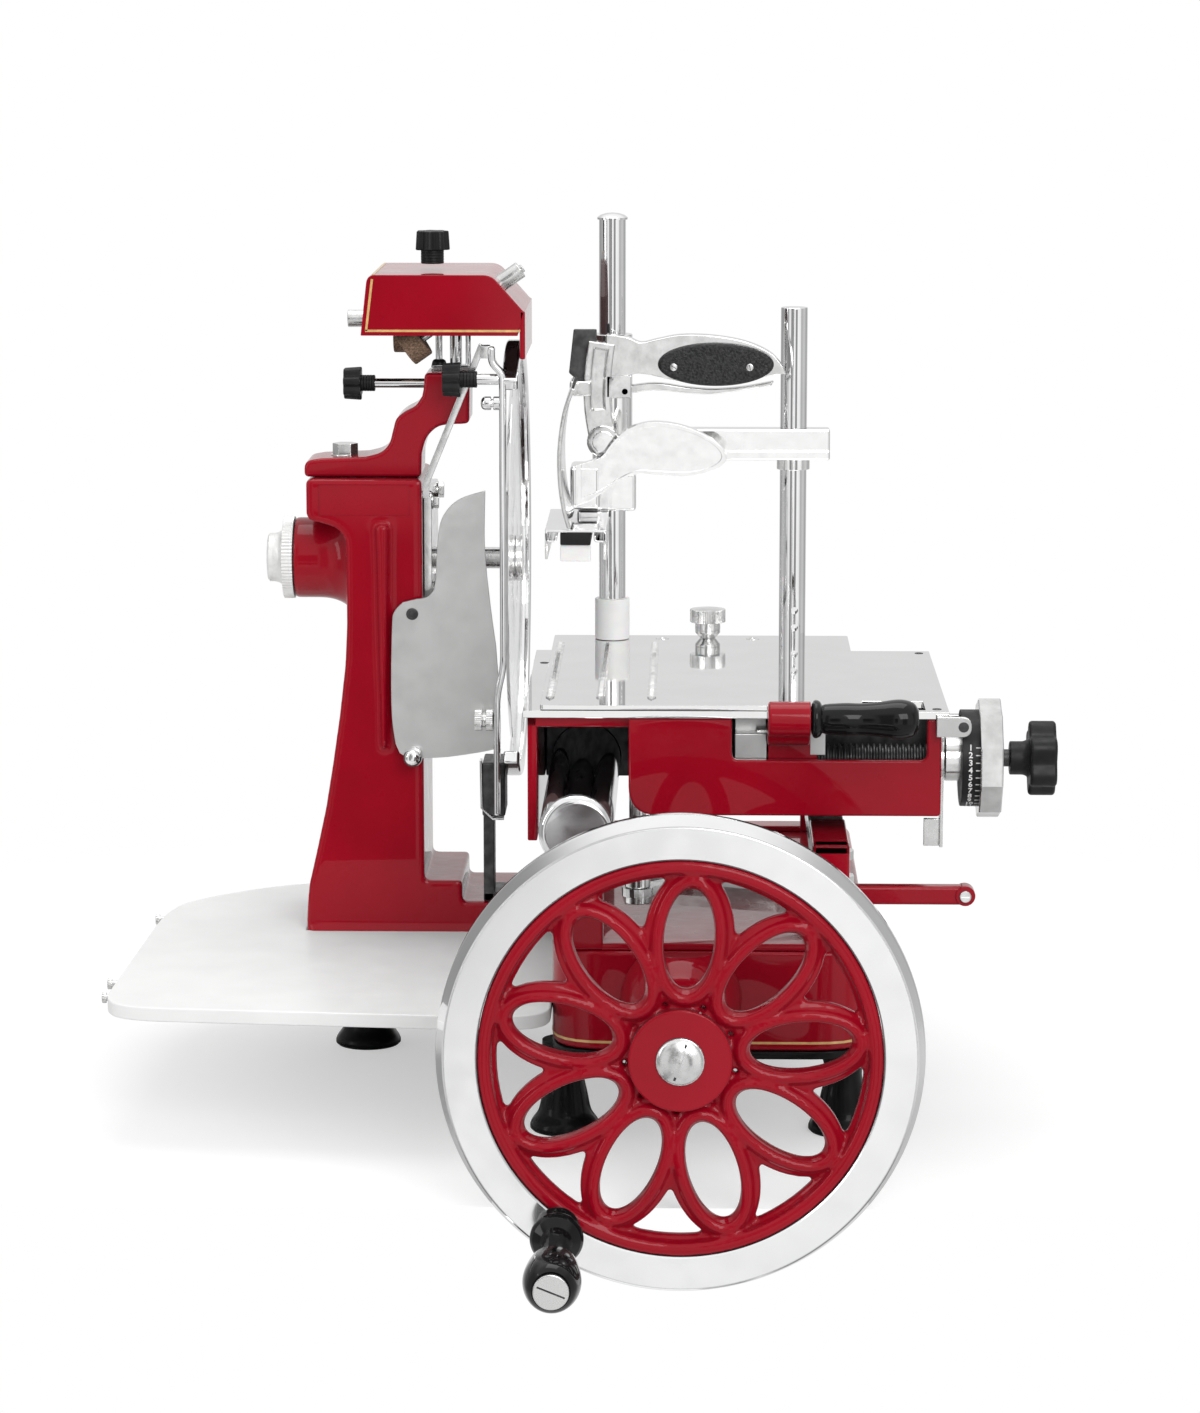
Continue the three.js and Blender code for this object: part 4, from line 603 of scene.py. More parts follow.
# Each finish has the record's slot that it follows, its colour, roughness and metallic share, and the
# effects on it. A colour is one of the user's or a grey; a drift between numbers is between shades of it
FINISHES = {
    "red_enamel": ("red_enamel", "red", 0.32, 0.0, {
        "clear": (1.0, 0.02), "drift": (0.93, 1.06, 60), "muted": ((0.05, 0.045, 0.045, 1), 0.9, 0.85),
        "haze": (0.26, 0.38, 25), "gloss": (0.34, 1.0), "specular": (0.06,), "grain": (34, 0.9, 1.1)}),
    "gold_line": ("red_enamel", "gold", 0.35, 0.25, {
        "clear": (0.6, 0.05), "drift": (0.85, 1.12, 6), "haze": (0.3, 0.45, 4)}),
    "black_enamel": ("black_enamel", "black", 0.3, 0.0, {
        "clear": (1.0, 0.04), "drift": (1, 1.7, 40), "haze": (0.25, 0.4, 20), "gloss": (0.08, 0.6),
        "specular": (0.1,), "grain": (2.2, 0.06, 0.12)}),
    "gloss_black": ("black_plastic", "black", 0.12, 0.0, {
        "clear": (1.0, 0.02), "drift": (1, 1.5, 30), "haze": (0.1, 0.2, 15), "gloss": (0.3, 0.9),
        "specular": (0.1,)}),
    "knob_black": ("black_plastic", grey(0.006, 0.007), 0.42, 0.0, {
        "drift": (grey(0.005, 0.006), grey(0.01, 0.011), 8), "haze": (0.36, 0.5, 6), "specular": (0.3,),
        "grain": (0.35, 0.25, 0.05)}),
    "pebble_black": ("black_plastic", grey(0.005, 0.006), 0.4, 0.0, {
        "drift": (grey(0.003, 0.004), grey(0.03, 0.031), 1.8), "haze": (0.32, 0.5, 2), "specular": (0.35,),
        "grain": (1.6, 1.0, 0.6)}),
    "chrome": ("chrome_plate", grey(0.9, 0.905), 0.05, 1.0, {
        "drift": (grey(0.88, 0.885), grey(0.92, 0.925), 30), "haze": (0.03, 0.08, 14)}),
    "mirror_plate": ("chrome_plate", grey(0.84, 0.835), 0.04, 1.0, {
        "drift": (grey(0.82, 0.815), grey(0.86, 0.855), 50), "haze": (0.02, 0.06, 35)}),
    "satin_sheet": ("satin_steel", grey(0.66, 0.655), 0.34, 1.0, {
        "drift": (grey(0.63, 0.625), grey(0.69, 0.685), 20), "haze": (0.3, 0.4, 10),
        "brush": ((2600.0, 300.0, 60.0), 0.12, 0.005)}),
    "brushed_steel": ("satin_steel", "steel", 0.26, 1.0, {
        "drift": (0.93, 1.08, 5), "haze": (0.2, 0.34, 5), "brush": ((40.0, 900.0, 900.0), 0.03, 0.0005)}),
    "dark_steel": ("satin_steel", grey(0.07, 0.072), 0.4, 0.7, {
        "drift": (grey(0.05, 0.052), grey(0.1), 8), "haze": (0.34, 0.5, 5), "grain": (0.5, 0.3, 0.05)}),
    "cast_aluminium": ("satin_aluminium", grey(0.72, 0.715), 0.1, 1.0, {
        "drift": (grey(0.62, 0.615), grey(0.8, 0.795), 14), "haze": (0.06, 0.14, 9),
        "grain": (15.0, 0.25, 0.6)}),
    # Lighter copy of the cast aluminium for the press carrier: its paleness is painted highlight of the
    # brightly lit face
    "pale_aluminium": ("satin_aluminium", grey(0.93, 0.925), 0.1, 1.0, {
        "drift": (grey(0.9, 0.895), grey(0.95, 0.945), 12), "haze": (0.06, 0.14, 9),
        "grain": (16.0, 0.1, 0.4)}),
    "knurled_aluminium": ("satin_aluminium", grey(0.84, 0.83), 0.36, 0.4, {
        "drift": (grey(0.8, 0.79), grey(0.88, 0.87), 6), "haze": (0.3, 0.44, 4), "grain": (0.4, 0.2, 0.04)}),
    "bright_steel": ("bright_steel", "steel", 0.18, 1.0, {
        "drift": (0.95, 1.15, 10), "haze": (0.13, 0.26, 7), "brush": ((900.0, 40.0, 900.0), 0.03, 0.0005)}),
    "polished_rim": ("polished_rim", grey(0.93, 0.935), 0.16, 0.9, {
        "drift": (grey(0.88, 0.885), grey(0.93, 0.935), 40), "haze": (0.12, 0.2, 20)}),
    "white_board": ("white_board", "board", 0.42, 0.0, {
        "drift": (0.975, 1.02, 45), "haze": (0.36, 0.48, 12), "grain": (0.8, 0.12, 0.06)}),
    "white_sleeve": ("white_board", grey(0.9, 0.895), 0.35, 0.0, {
        "drift": (grey(0.88, 0.875), grey(0.92, 0.915), 10), "haze": (0.3, 0.42, 6), "milky": (0.3, 2)}),
    "dial_white": ("white_board", grey(0.82, 0.81), 0.5, 0.0, {
        "drift": (grey(0.74, 0.73), grey(0.86, 0.85), 2), "haze": (0.45, 0.6, 2)}),
    "stone": ("grey_stone", "stone", 0.9, 0.0, {
        "drift": (0.5, 1.8, 1.1), "haze": (0.8, 0.98, 1.5), "grain": (0.9, 0.9, 0.5)}),
}


def material(name):
    """The finished material of that name, made the first time it is asked for."""
    if "slicer_grain" not in bpy.data.node_groups:
        for make in (grain_group, brush_group, haze_group, drift_group):
            make()
    if "slicer_" + name not in bpy.data.materials:
        Finish(name)
    return bpy.data.materials["slicer_" + name]


# Repeated fittings


def hex_bolt(name, width, height, axis, centre, start):
    """A hexagon head with a chamfered top and a washer under it."""
    across = width / 2
    head = solid(name, arc(0, 0, across, 0, 300, 5), "z", 0.8, height)
    soften(head, 0.5, 2)
    washer = rod(name + "_washer", across * 1.12, 0, 0.9, "z", (0, 0, 0), 0.3)
    bolt = joined(name, head, washer)
    return placed(bolt, Vector(centre) + Vector(AXES[axis]) * start, TURNS[axis])


def hand_knob(name, radius, length, neck, neck_length, axis, spot):
    """A fluted knob with a slightly flared head and a ribbed neck; spot is the middle of its outer face."""
    head = solid(name, lobed(radius, 7, 2.6, 12, 1.6), "z", 0, length)
    edit(head)
    bpy.ops.mesh.select_mode(type="VERT")
    bpy.ops.mesh.select_all(action="DESELECT")
    object_mode()
    for vertex in head.data.vertices:
        vertex.select = vertex.co.z < 0.5 * length * MM
    bpy.ops.object.mode_set(mode="EDIT")
    bpy.ops.transform.resize(value=(0.93, 0.93, 1), center_override=(0, 0, 0))
    close_mesh()
    soften(head, 0.9, 3, 50)
    stem = [(0, length - 1), (neck, length - 1)]
    ribs = 5
    for rib in range(ribs):
        low = length + neck_length * rib / ribs
        high = length + neck_length * (rib + 1) / ribs
        stem += [(neck, low + 0.15), (neck, high - 0.35), (neck - 0.3, high - 0.2)]
    stem += [(neck - 0.4, length + neck_length), (0, length + neck_length)]
    knob = joined(name, head, turned(name + "_stem", stem, "z", (0, 0, 0), SMALL_STEPS))
    return placed(knob, spot, TURNS[axis])


def knurled(name, radius, start, end, axis, centre, teeth=48, depth=0.5):
    """A disc with a straight knurl on its rim."""
    disc = solid(name, lobed(radius, teeth, depth, 4), "z", start, end)
    soften(disc, 0.4, 2, 60)
    return placed(disc, centre, TURNS[axis])


# Operators


class SLICER_OT_feet(bpy.types.Operator):
    """Four flared feet, turned once and copied"""

    bl_idname = "slicer.feet"
    bl_label = "Feet"

    def execute(self, context):
        first = Span("front_left_foot")
        waist = 13
        collar = 16
        sole = first.x1
        flare = flowing([(sole, 3.5), (sole - 1.5, 7), (sole - 6, 14), (waist + 3, 26), (waist, 42),
                         (collar, 55)])
        profile = [(0, 0), (sole - 1.5, 0), (sole, 1.5), *flare, (collar, first.z1 - 1), (0, first.z1)]
        foot = turned("foot_front_left", profile, "z", (0, 0, 0), 64)
        for node in ("front_right_foot", "rear_left_foot", "rear_right_foot"):
            spot = Span(node)
            twin = placed(copied(foot, "foot_" + node.replace("_foot", "")), (spot.cx, spot.cy, 0))
            dress(twin, "frame", "black_enamel", [node])
        dress(foot, "frame", "black_enamel", ["front_left_foot"])
        return {"FINISHED"}


class SLICER_OT_base(bpy.types.Operator):
    """Black base plate and the red housing with its painted line"""

    bl_idname = "slicer.base"
    bl_label = "Base"

    def execute(self, context):
        house = Span("base_housing")
        plate_span = Span("base_plate")
        corner = 40
        plan = box_outline(house.x0, house.x1, house.y0, house.y1, corner)
        plate = soften(solid("base_plate_main", plan, "z", plate_span.z0, house.z0 - 0.3), 1.2, 2)
        riser = block("base_riser", plate_span.x0, house.x0 - 0.3, Span("column").y0 - 6,
                      Span("column").y1 + 12, plate_span.z0, plate_span.z1, 3, 3)
        link = block("base_link", house.x0 - 4, house.x0 + corner, Span("column").y0 + 6,
                     Span("column").y1 - 6, plate_span.z0 + 0.4, house.z0 - 0.4, 0.4)
        dress(joined("base_plate_black", plate, riser, link), "frame", "black_enamel", ["base_plate"])

        wall = 6
        shell = solid("base_housing_red", plan, "z", house.z0, house.z1)
        room = solid("base_room", box_outline(house.x0 + wall, house.x1 - wall, house.y0 + wall,
                                              house.y1 - wall, corner - wall), "z", house.z0 - 1,
                                              house.z1 - wall)
        carve(shell, room)
        soften(shell, size("casting_edge"), 4, 50)
        dress(shell, "frame", "red_enamel", ["base_housing"])

        low = house.z0 + 5
        outer = box_outline(house.x0 - PROUD, house.x1 + PROUD, house.y0 - PROUD, house.y1 + PROUD, corner)
        line = solid("base_gold_line", outer, "z", low, low + size("line_width"))
        inner = box_outline(house.x0 + 1, house.x1 - 1, house.y0 + 1, house.y1 - 1, corner)
        carve(line, solid("base_line_core", inner, "z", low - 1, low + size("line_width") + 1))
        dress(line, "frame", "gold_line")
        return {"FINISHED"}


class SLICER_OT_flywheel_bearing(bpy.types.Operator):
    """Domed bearing housing of the flywheel shaft"""

    bl_idname = "slicer.flywheel_bearing"
    bl_label = "Flywheel bearing"

    def execute(self, context):
        wheel = Span("flywheel_rim")
        box = Span("flywheel_bearing")
        barrel = 21
        dome = 42
        bore = 10.3
        flare = flowing([(barrel, box.y1 - 44), (barrel + 3, box.y1 - 35), (barrel + 11, box.y1 - 24),
                         (dome - 4, box.y1 - 12), (dome, box.y1)])
        profile = [(bore, box.y0), (barrel - 2, box.y0), (barrel, box.y0 + 2), *flare, (bore, box.y1),
                   (bore, box.y0)]
        nose = turned("flywheel_bearing_dome", profile, "y", (wheel.cx, 0, wheel.cz))
        edit(nose)
        bpy.ops.mesh.bisect(plane_co=(0, 0, box.z1 * MM), plane_no=(0, 0, 1), use_fill=True,
                            clear_outer=True)
        close_mesh()
        soften(nose, 1.2, 3, 60)
        dress(nose, "frame", "red_enamel", ["flywheel_bearing"])
        return {"FINISHED"}


class SLICER_OT_flywheel(bpy.types.Operator):
    """Petal web, polished rim, slotted nut and the grip's stud"""

    bl_idname = "slicer.flywheel"
    bl_label = "Flywheel"

    petals = 9
    first_angle = 4
    petal_centre = 79
    rim_width = 22

    def petal_ring(self, name, half_width, half_length, width, front, back, edge):
        """One open oval of the web, drawn upright above the axis."""
        outer = ellipse(0, self.petal_centre, half_width + width, half_length + width)
        body = solid(name, outer, "y", front, back)
        hole = solid(name + "_hole", ellipse(0, self.petal_centre, half_width, half_length), "y",
                     front - 2, back + 2)
        carve(body, hole)
        return soften(body, edge, 4, 50)

    def web(self, wheel, box):
        """The cast web: petals melted into the rim's ring and the hub."""
        front = wheel.y1 - self.rim_width
        bead = self.petal_ring("petal_bead", 16.5, 35.7, 8, front + 1.5, wheel.y1 - 1.5, 3.6)
        flange = self.petal_ring("petal_flange", 16.3, 33.5, 13.4, front + 6.5, wheel.y1 - 6, 2)
        petal = joined("petal", bead, flange)
        bodies = []
        for index in range(self.petals):
            turn = self.first_angle + index * 360 / self.petals
            bodies.append(placed(copied(petal, f"petal_{index}"), turn=(0, turn, 0)))
        select_only(petal)
        bpy.ops.object.delete()
        outer = (box.x1 - box.x0) / 2
        bodies.append(ring("web_ring", outer, outer - 9, front, wheel.y1, "y", (0, 0, 0), 2.5))
        bodies.append(ring("web_step", outer - 7, outer - 12.5, front + 8, wheel.y1 - 5, "y", (0, 0, 0), 2))
        bore, hub_radius = 10.3, 34
        hub_foot = rounded([(bore, front + 4), (hub_radius, front + 4, 3), (hub_radius + 2, wheel.y1, 2),
                            (bore, wheel.y1)], False)
        bodies.append(turned("hub_foot", hub_foot + hub_foot[:1], "y", (0, 0, 0)))
        web = cast(joined("flywheel_petals", *bodies), size("casting_grain"), 7)
        hub = rounded([(bore, box.y0), (hub_radius, box.y0, 1.6), (hub_radius, front + 8),
                       (bore, front + 8)], False)
        disc = turned("hub_disc", hub + hub[:1], "y", (0, 0, 0))
        return placed(joined("flywheel_petals", web, disc), (wheel.cx, 0, wheel.cz))

    def execute(self, context):
        wheel = Span("flywheel_rim")
        wheel.cx, wheel.cz = Span("flywheel_web").cx, Span("flywheel_web").cz
        box = Span("flywheel_web")
        front = wheel.y1 - self.rim_width
        middle = (wheel.cx, 0, wheel.cz)
        nut_turn, stud_turn = (0, 18, 0), (0, 22, 0)
        dress(self.web(wheel, box), "flywheel", "red_enamel", ["flywheel_web"])

        bore = (box.x1 - box.x0) / 2 + 0.3
        face = wheel.x1 - wheel.cx - 5.7
        barrel = wheel.x1 - wheel.cx
        corners = [(bore, front + 1), (bore + 1, front), (face, front, 0.8), (face, wheel.y1),
                   (bore, wheel.y1),
                   (bore, front + 1)]
        rim = turned("flywheel_rim_face", rounded(corners, False), "y", middle, 160)
        dress(rim, "flywheel", "polished_rim", ["flywheel_rim"])
        corners = [(face, front + 0.5), (face + 0.7, front + 0.3), (barrel - 0.8, front + 13, 2),
                   (barrel, front + 15, 1), (barrel, wheel.y1, 1.5), (face, wheel.y1), (face, front + 0.5)]
        dress(turned("flywheel_rim_barrel", rounded(corners, False), "y", middle, 160), "flywheel", "chrome")

        nut = rounded([(0, box.y0 - 6.2), (7, box.y0 - 5.7), (13.6, box.y0 - 3.6, 2),
                       (15.9, box.y0 - 1.6, 0.8),
                       (15.9, box.y0), (0, box.y0)], False)
        cap = turned("flywheel_nut", flowing(nut[:4], 4) + nut[4:], "y", (0, 0, 0))
        slot = block("nut_slot", -0.8, 0.8, box.y0 - 8, box.y0 - 3.6, -13.5, 13.5, 0)
        carve(cap, placed(slot, turn=nut_turn))
        dress(placed(cap, middle), "flywheel", "brushed_steel")
        shade = block("nut_slot_shade", -0.75, 0.75, box.y0 - 4.2, box.y0 - 3, -12.6, 12.6, 0)
        dress(placed(shade, middle, nut_turn), "flywheel", "dark_steel")

        grip = Span("crank_grip")
        end = wheel.y0
        profile = rounded([(0, end), (11.4, end, 0.8), (11.4, end + 3), (5, end + 3), (5, front + 1),
                           (0, front + 1)], False)
        stud = turned("crank_stud", profile, "y", (0, 0, 0), 64)
        notch = block("stud_slot", -9.5, 9.5, end - 1, end + 0.9, -0.6, 0.6, 0)
        carve(stud, placed(notch, turn=stud_turn))
        dress(placed(stud, (grip.cx, 0, grip.cz)), "flywheel", "brushed_steel")
        shade = block("stud_slot_shade", -9.4, 9.4, end + 0.6, end + 1.5, -0.55, 0.55, 0)
        dress(placed(shade, (grip.cx, 0, grip.cz), stud_turn), "flywheel", "dark_steel")
        return {"FINISHED"}


class SLICER_OT_crank_grip(bpy.types.Operator):
    """Turned black grip of the crank"""

    bl_idname = "slicer.crank_grip"
    bl_label = "Crank grip"

    def execute(self, context):
        box = Span("crank_grip")
        end = box.y0
        bulb = flowing([(12.6, end), (15.8, end + 4.5), (18.2, end + 14), (18.5, end + 24), (16.6, end + 42),
                        (12.4, end + 66), (9.7, end + 86), (9.4, end + 94), (10.6, end + 102)], 6)
        collar = flowing([(15.6, end + 106), (17.4, end + 109.5), (17.4, end + 113), (15.5, end + 116),
                          (11.6, end + 119), (11.2, end + 122), (13.4, end + 128), (14.5, box.y1 - 3),
                          (14.2, box.y1)], 5)
        profile = [(5.4, end + 0.6), (11.6, end + 0.6), *bulb, *collar, (5.4, box.y1), (5.4, end + 0.6)]
        grip = turned("crank_grip_black", profile, "y", (box.cx, 0, box.cz))
        dress(grip, "grip", "gloss_black", ["crank_grip"], 40)
        return {"FINISHED"}


class SLICER_OT_drive_train(bpy.types.Operator):
    """Crank arm, connecting rod, shafts, gears and the slide bush"""

    bl_idname = "slicer.drive_train"
    bl_label = "Drive train"

    def execute(self, context):
        for node in ("flywheel_shaft", "crown_gear", "drive_gear", "cross_shaft", "drive_chain",
                     "blade_shaft"):
            coat(node, "brushed_steel")
        for node in ("crank_arm", "connecting_rod", "rail_roller"):
            coat(node, "bright_steel")
        bearing, tube = Span("slide_bearing"), Span("guide_tube")
        # The bush starts behind the window, where the tube shows
        setback = 165
        bush = block("slide_bush", bearing.x0, bearing.x1, bearing.y0 + setback, bearing.y1, bearing.z0,
                     bearing.z1, 1.2)
        carve(bush, rod("slide_bore", 25.4, bearing.y0, bearing.y1 + 2, "y", (tube.cx, 0, tube.cz), 0, 96))
        dress(bush, "carriage", "dark_steel", ["slide_bearing"])
        return {"FINISHED"}


class SLICER_OT_column(bpy.types.Operator):
    """Column casting with its boss, rib and foot, and the bearing cap"""

    bl_idname = "slicer.column"
    bl_label = "Column"

    def execute(self, context):
        box = Span("column")
        front = box.y0 + 6
        left, right, top = -166, -110, box.z1
        head_left = -195
        outline = rounded([
            (box.x1, box.z0), (box.x1, 122, 1), (-82, 122, 2), (-82, 138, 1), (right, 138, 3),
            (right, top, 3), (head_left, top, 3), (head_left, top - 30, 5), (left, top - 37, 14),
            (left, 330), (-167.5, 300), (-172, 262), (-177.5, 225), (-183, 192), (-190, 160),
            (-196, 134), (-198, 112, 6), (-198, box.z0)])
        body = soften(solid("column_body", outline, "y", front, box.y1), 5, 4, 50)
        boss_end = box.x0
        boss = turned("column_boss", rounded([
            (0, boss_end), (30, boss_end, 1.5), (30, left - 10, 14), (44, left + 6), (0, left + 6)], False),
            "x", BLADE_AXIS)
        edit(boss)
        bpy.ops.mesh.bisect(plane_co=(0, (front + 2) * MM, 0), plane_no=(0, -1, 0), use_fill=True,
                            clear_outer=True)
        close_mesh()
        rib = soften(solid("column_rib", rounded([(-140.5, 238, 1), (-137.5, 238, 1), (-134.5, 405, 3),
                                                  (-143.5, 405, 3)]), "y", box.y0 + 0.5, front + 8), 1.8, 3,
                                                  50)
        skirt = soften(solid("column_skirt", rounded([(-198, box.z0), (-10, box.z0), (-12, 103, 4),
                                                      (-196, 104, 6)]), "y", front - 4, front + 6), 3.5, 3,
                                                      50)
        casting = cast(joined("column_casting", body, boss, rib, skirt), size("casting_grain") * 1.15, 7)
        room = block("column_room", left + 6, right - 6, front + 8, box.y1 - 8, box.z0 - 1, top - 36, 0)
        tunnel = block("column_tunnel", right - 7, box.x1 + 2, 220, 260, box.z0 - 1, 116, 0)
        panel = block("column_panel", head_left + 9, right - 9, front - 3, front + 0.7, top - 27, top - 4, 0)
        carve(casting, room, tunnel, panel)
        dress(casting, "frame", "red_enamel", ["column"])

        cap = Span("blade_bearing")
        seat = box.x0 - 0.3
        ring_piece = knurled("bearing_ring", 30.6, 0, 8, "x", (seat - 8, *BLADE_AXIS[1:]), 72, 0.7)
        dress(ring_piece, "frame", "knurled_aluminium", ["blade_bearing"])
        end = cap.x0
        profile = flowing([(18, end + 4), (18.3, end + 6), (19.5, end + 9), (23, end + 12), (28, end + 14)],
                          4)
        lid = turned("bearing_cap", [(0, end), (16.6, end), (18, end + 1.4), *profile, (28, end + 16),
                                     (0, end + 16)], "x", BLADE_AXIS)
        dress(lid, "frame", "knurled_aluminium")
        return {"FINISHED"}


class SLICER_OT_blade(bpy.types.Operator):
    """Round blade, its nut and the flange plate with its bolts"""

    bl_idname = "slicer.blade"
    bl_label = "Blade"

    def execute(self, context):
        box = Span("blade")
        radius = (box.y1 - box.y0) / 2
        face = box.x1
        back = face - 3.4
        centre = (0, box.cy, box.cz)
        profile = rounded([(8.3, box.x0), (42, box.x0, 1), (46, back, 2), (radius - 14, back, 2),
                           (radius, face - 0.4), (radius, face), (60, face - 1, 6), (42, face - 1.2, 1),
                           (8.3, face - 1.2), (8.3, box.x0)], False)
        disc = turned("round_blade", profile, "x", centre, 160)
        dress(disc, "blade_unit", "chrome", ["blade"])
        nut = ring("blade_nut", 17.3, 7.2, face - 0.8, face + 4.3, "x", centre, 0.8)
        dress(nut, "blade_unit", "bright_steel")

        flange = Span("flange_plate")
        plate = solid("flange_steel", box_outline(flange.y0, flange.y1, flange.z0, flange.z1, 5), "x",
                      flange.x0, flange.x0 + 6)
        carve(plate, rod("flange_bore", 8.3, flange.x0 - 1, flange.x0 + 8, "x", centre, 0))
        soften(plate, size("machined_edge"), 2)
        bolts = [hex_bolt(f"flange_bolt_{k}", 12, 5, "x", (0, box.cy + dy, z), flange.x0 + 6)
                 for k, (dy, z) in enumerate([(-32, 420), (32, 420), (-32, 354), (32, 354)])]
        dress(joined("flange_steel", plate, *bolts), "frame", "bright_steel", ["flange_plate"])
        return {"FINISHED"}


class SLICER_OT_guard(bpy.types.Operator):
    """Blade guard ring, its bar, stay, bracket and knobs"""

    bl_idname = "slicer.guard"
    bl_label = "Blade guard"

    def execute(self, context):
        blade = Span("blade")
        radius = (blade.y1 - blade.y0) / 2
        inner, outer = radius + 2.5, radius + 12.5
        sweep = 120
        arch = arc(blade.cy, blade.cz, outer, -sweep, sweep, 90)
        arch += arc(blade.cy, blade.cz, inner, sweep, -sweep, 90)
        guard = soften(solid("guard_ring", arch, "x", -50, -38), 2.2, 4, 50)
        dress(guard, "frame", "chrome", ["blade_guard"])

        x = -49.5
        path = rounded([(x - 8, 537), (x - 8, 526, 4), (x, 517, 4), (x, 302, 10), (x - 5, 282, 10),
                        (x - 5, 192)], False)
        bar = soften(solid("guard_bar", band(path, 5), "y", 160, 172), 1.8, 3, 50)
        dress(bar, "frame", "chrome")
        stay_path = rounded([(-106.5, 425), (-106.5, 436, 3), (-65, 537)], False)
        stay = soften(solid("guard_stay", band(stay_path, 5), "y", 180, 184), 0.6, 2, 50)
        tie = block("stay_tie", x - 17, x - 9.5, 171, 184, 528, 537, 0.8)
        dress(joined("guard_stay", stay, tie), "frame", "bright_steel")

        box = block("bracket_box", -66, -49, 171, 210, 190, 230, 1.5, 3)
        leg = block("bracket_leg", -66, -58, 187, 210, 122.3, 191, 1)
        foot = block("bracket_foot", -66, -48, 187, 224, 122.3, 129, 1)
        dress(joined("guard_bracket", box, leg, foot), "frame", "dark_steel")
        strip = solid("bracket_strip", band([(-67, 232), (-66.5, 196), (-58, 188), (-50, 188)], 1.6), "y",
                      170.2, 180)
        dress(soften(strip, 0.3, 2), "frame", "chrome")

        pin = rounded([(0, -65.5), (3.2, -65, 1.5), (5, -63, 1.5), (5, -58, 0.6), (3, -57.6), (3, -56.5),
                       (5, -56.2, 0.6), (5, -52), (0, -52)], False)
        dress(turned("guard_pin", pin, "x", (0, 166, 496), SMALL_STEPS), "frame", "chrome")

        screw = Span("guard_knob")
        middle = screw.cx
        first = knurled("guard_screw_head", 8, 0, 5.5, "x", (screw.x0, 166, 263), 36, 0.6)
        second = knurled("guard_screw_nut", 8, 0, 5, "x", (screw.x1 - 5.2, 166, 263), 36, 0.6)
        neck = rod("guard_screw_neck", 5, screw.x0 + 2, screw.x1 - 2, "x", (0, 166, 263))
        hub = rod("guard_screw_hub", 5.6, middle - 1.2, middle + 1.2, "x", (0, 166, 263))
        dress(joined("guard_screw_steel", first, second, neck, hub), "guard_screw", "bright_steel",
              ["guard_knob"])
        return {"FINISHED"}


class SLICER_OT_guide_plate(bpy.types.Operator):
    """Curved slice guide with its screw and domed knob"""

    bl_idname = "slicer.guide_plate"
    bl_label = "Slice guide"

    def execute(self, context):
        box = Span("guide_plate")
        front = box.y0 + 2
        edge = flowing([(-63, 431), (-83, 424), (-95, 410), (-98.5, 388), (-99.5, 366)], 6)
        edge += flowing([(-101, 358), (-106, 352.5), (-114, 351)], 4)
        edge += flowing([(-124, 348.5), (-130.5, 341), (-132, 330), (-133, 290), (-132.5, 262), (-130, 243)],
                        5)
        edge += flowing([(-127, 236), (-118, 232.5), (-95, 233), (-70, 236.5), (-53.5, 240)], 5)
        edge += [(-53.5, 287)]
        edge += flowing([(-55.5, 316), (-60, 350), (-63.5, 390), (-63, 431)], 6)[:-1]
        plate = soften(solid("guide_sheet", edge, "y", front, front + 3), 0.5, 2, 40)
        dress(plate, "frame", "satin_sheet", ["guide_plate"])
        head = ring("guide_screw_head", 4.4, 2.2, front - 1.4, front + 0.5, "y", (-117, 0, 340), 0.5)
        core = rod("guide_screw_core", 3.6, front - 0.9, front + 0.5, "y", (-117, 0, 340), 0.4)
        spacer = rod("guide_spacer", 5, front + 2, box.y1, "y", (-117, 0, 340))
        dress(joined("guide_screw_dark", head, core, spacer), "frame", "dark_steel")
        knob = Span("guide_knob")
        profile = rounded([(0, knob.y0), (4.5, knob.y0 + 0.8, 2), (7, knob.y0 + 4.5, 2),
                           (7, knob.y1 - 1, 0.6),
                           (6, knob.y1), (0, knob.y1)], False)
        dress(turned("guide_knob_dome", profile, "y", (knob.cx, 0, knob.cz), 48), "guide_screw", "chrome",
              ["guide_knob"])
        return {"FINISHED"}


class SLICER_OT_receiving_board(bpy.types.Operator):
    """White board that catches the slices"""

    bl_idname = "slicer.receiving_board"
    bl_label = "Receiving board"

    def execute(self, context):
        box = Span("receiving_board")
        column = Span("column")
        left, right = -320, box.x1
        outline = rounded([
            (left, box.y0 + 40, 30), (left + 22, box.y0 + 20, 26), (left + 235, box.y0 + 1),
            (right, box.y0, 30),
            (right, column.y0 + 5.7), (column.x0 + 9.7, column.y0 + 5.7), (column.x0 + 9.7, column.y1 + 0.3),
            (right, column.y1 + 0.3), (right, box.y1, 3), (left + 107, box.y1, 60),
            (left + 24, box.y1 - 68, 60), (left + 9, box.y1 - 118, 40)], True, 10)
        board = soften(solid("board_white", outline, "z", box.z0, box.z1), 1.1, 3, 40)
        dress(board, "frame", "white_board", ["receiving_board"])
        for number, (x, y) in enumerate([(left + 1.7, -10), (left, 31), (left + 8.3, 240)]):
            head = knurled(f"board_pin_{number}", 4, 0, 3, "x", (x - 6, y, box.cz), 24, 0.4)
            shank = rod(f"board_shank_{number}", 2.4, x - 4, x + 6, "x", (0, y, box.cz))
            dress(joined(f"board_pin_{number}", head, shank), "frame", "bright_steel")
        return {"FINISHED"}


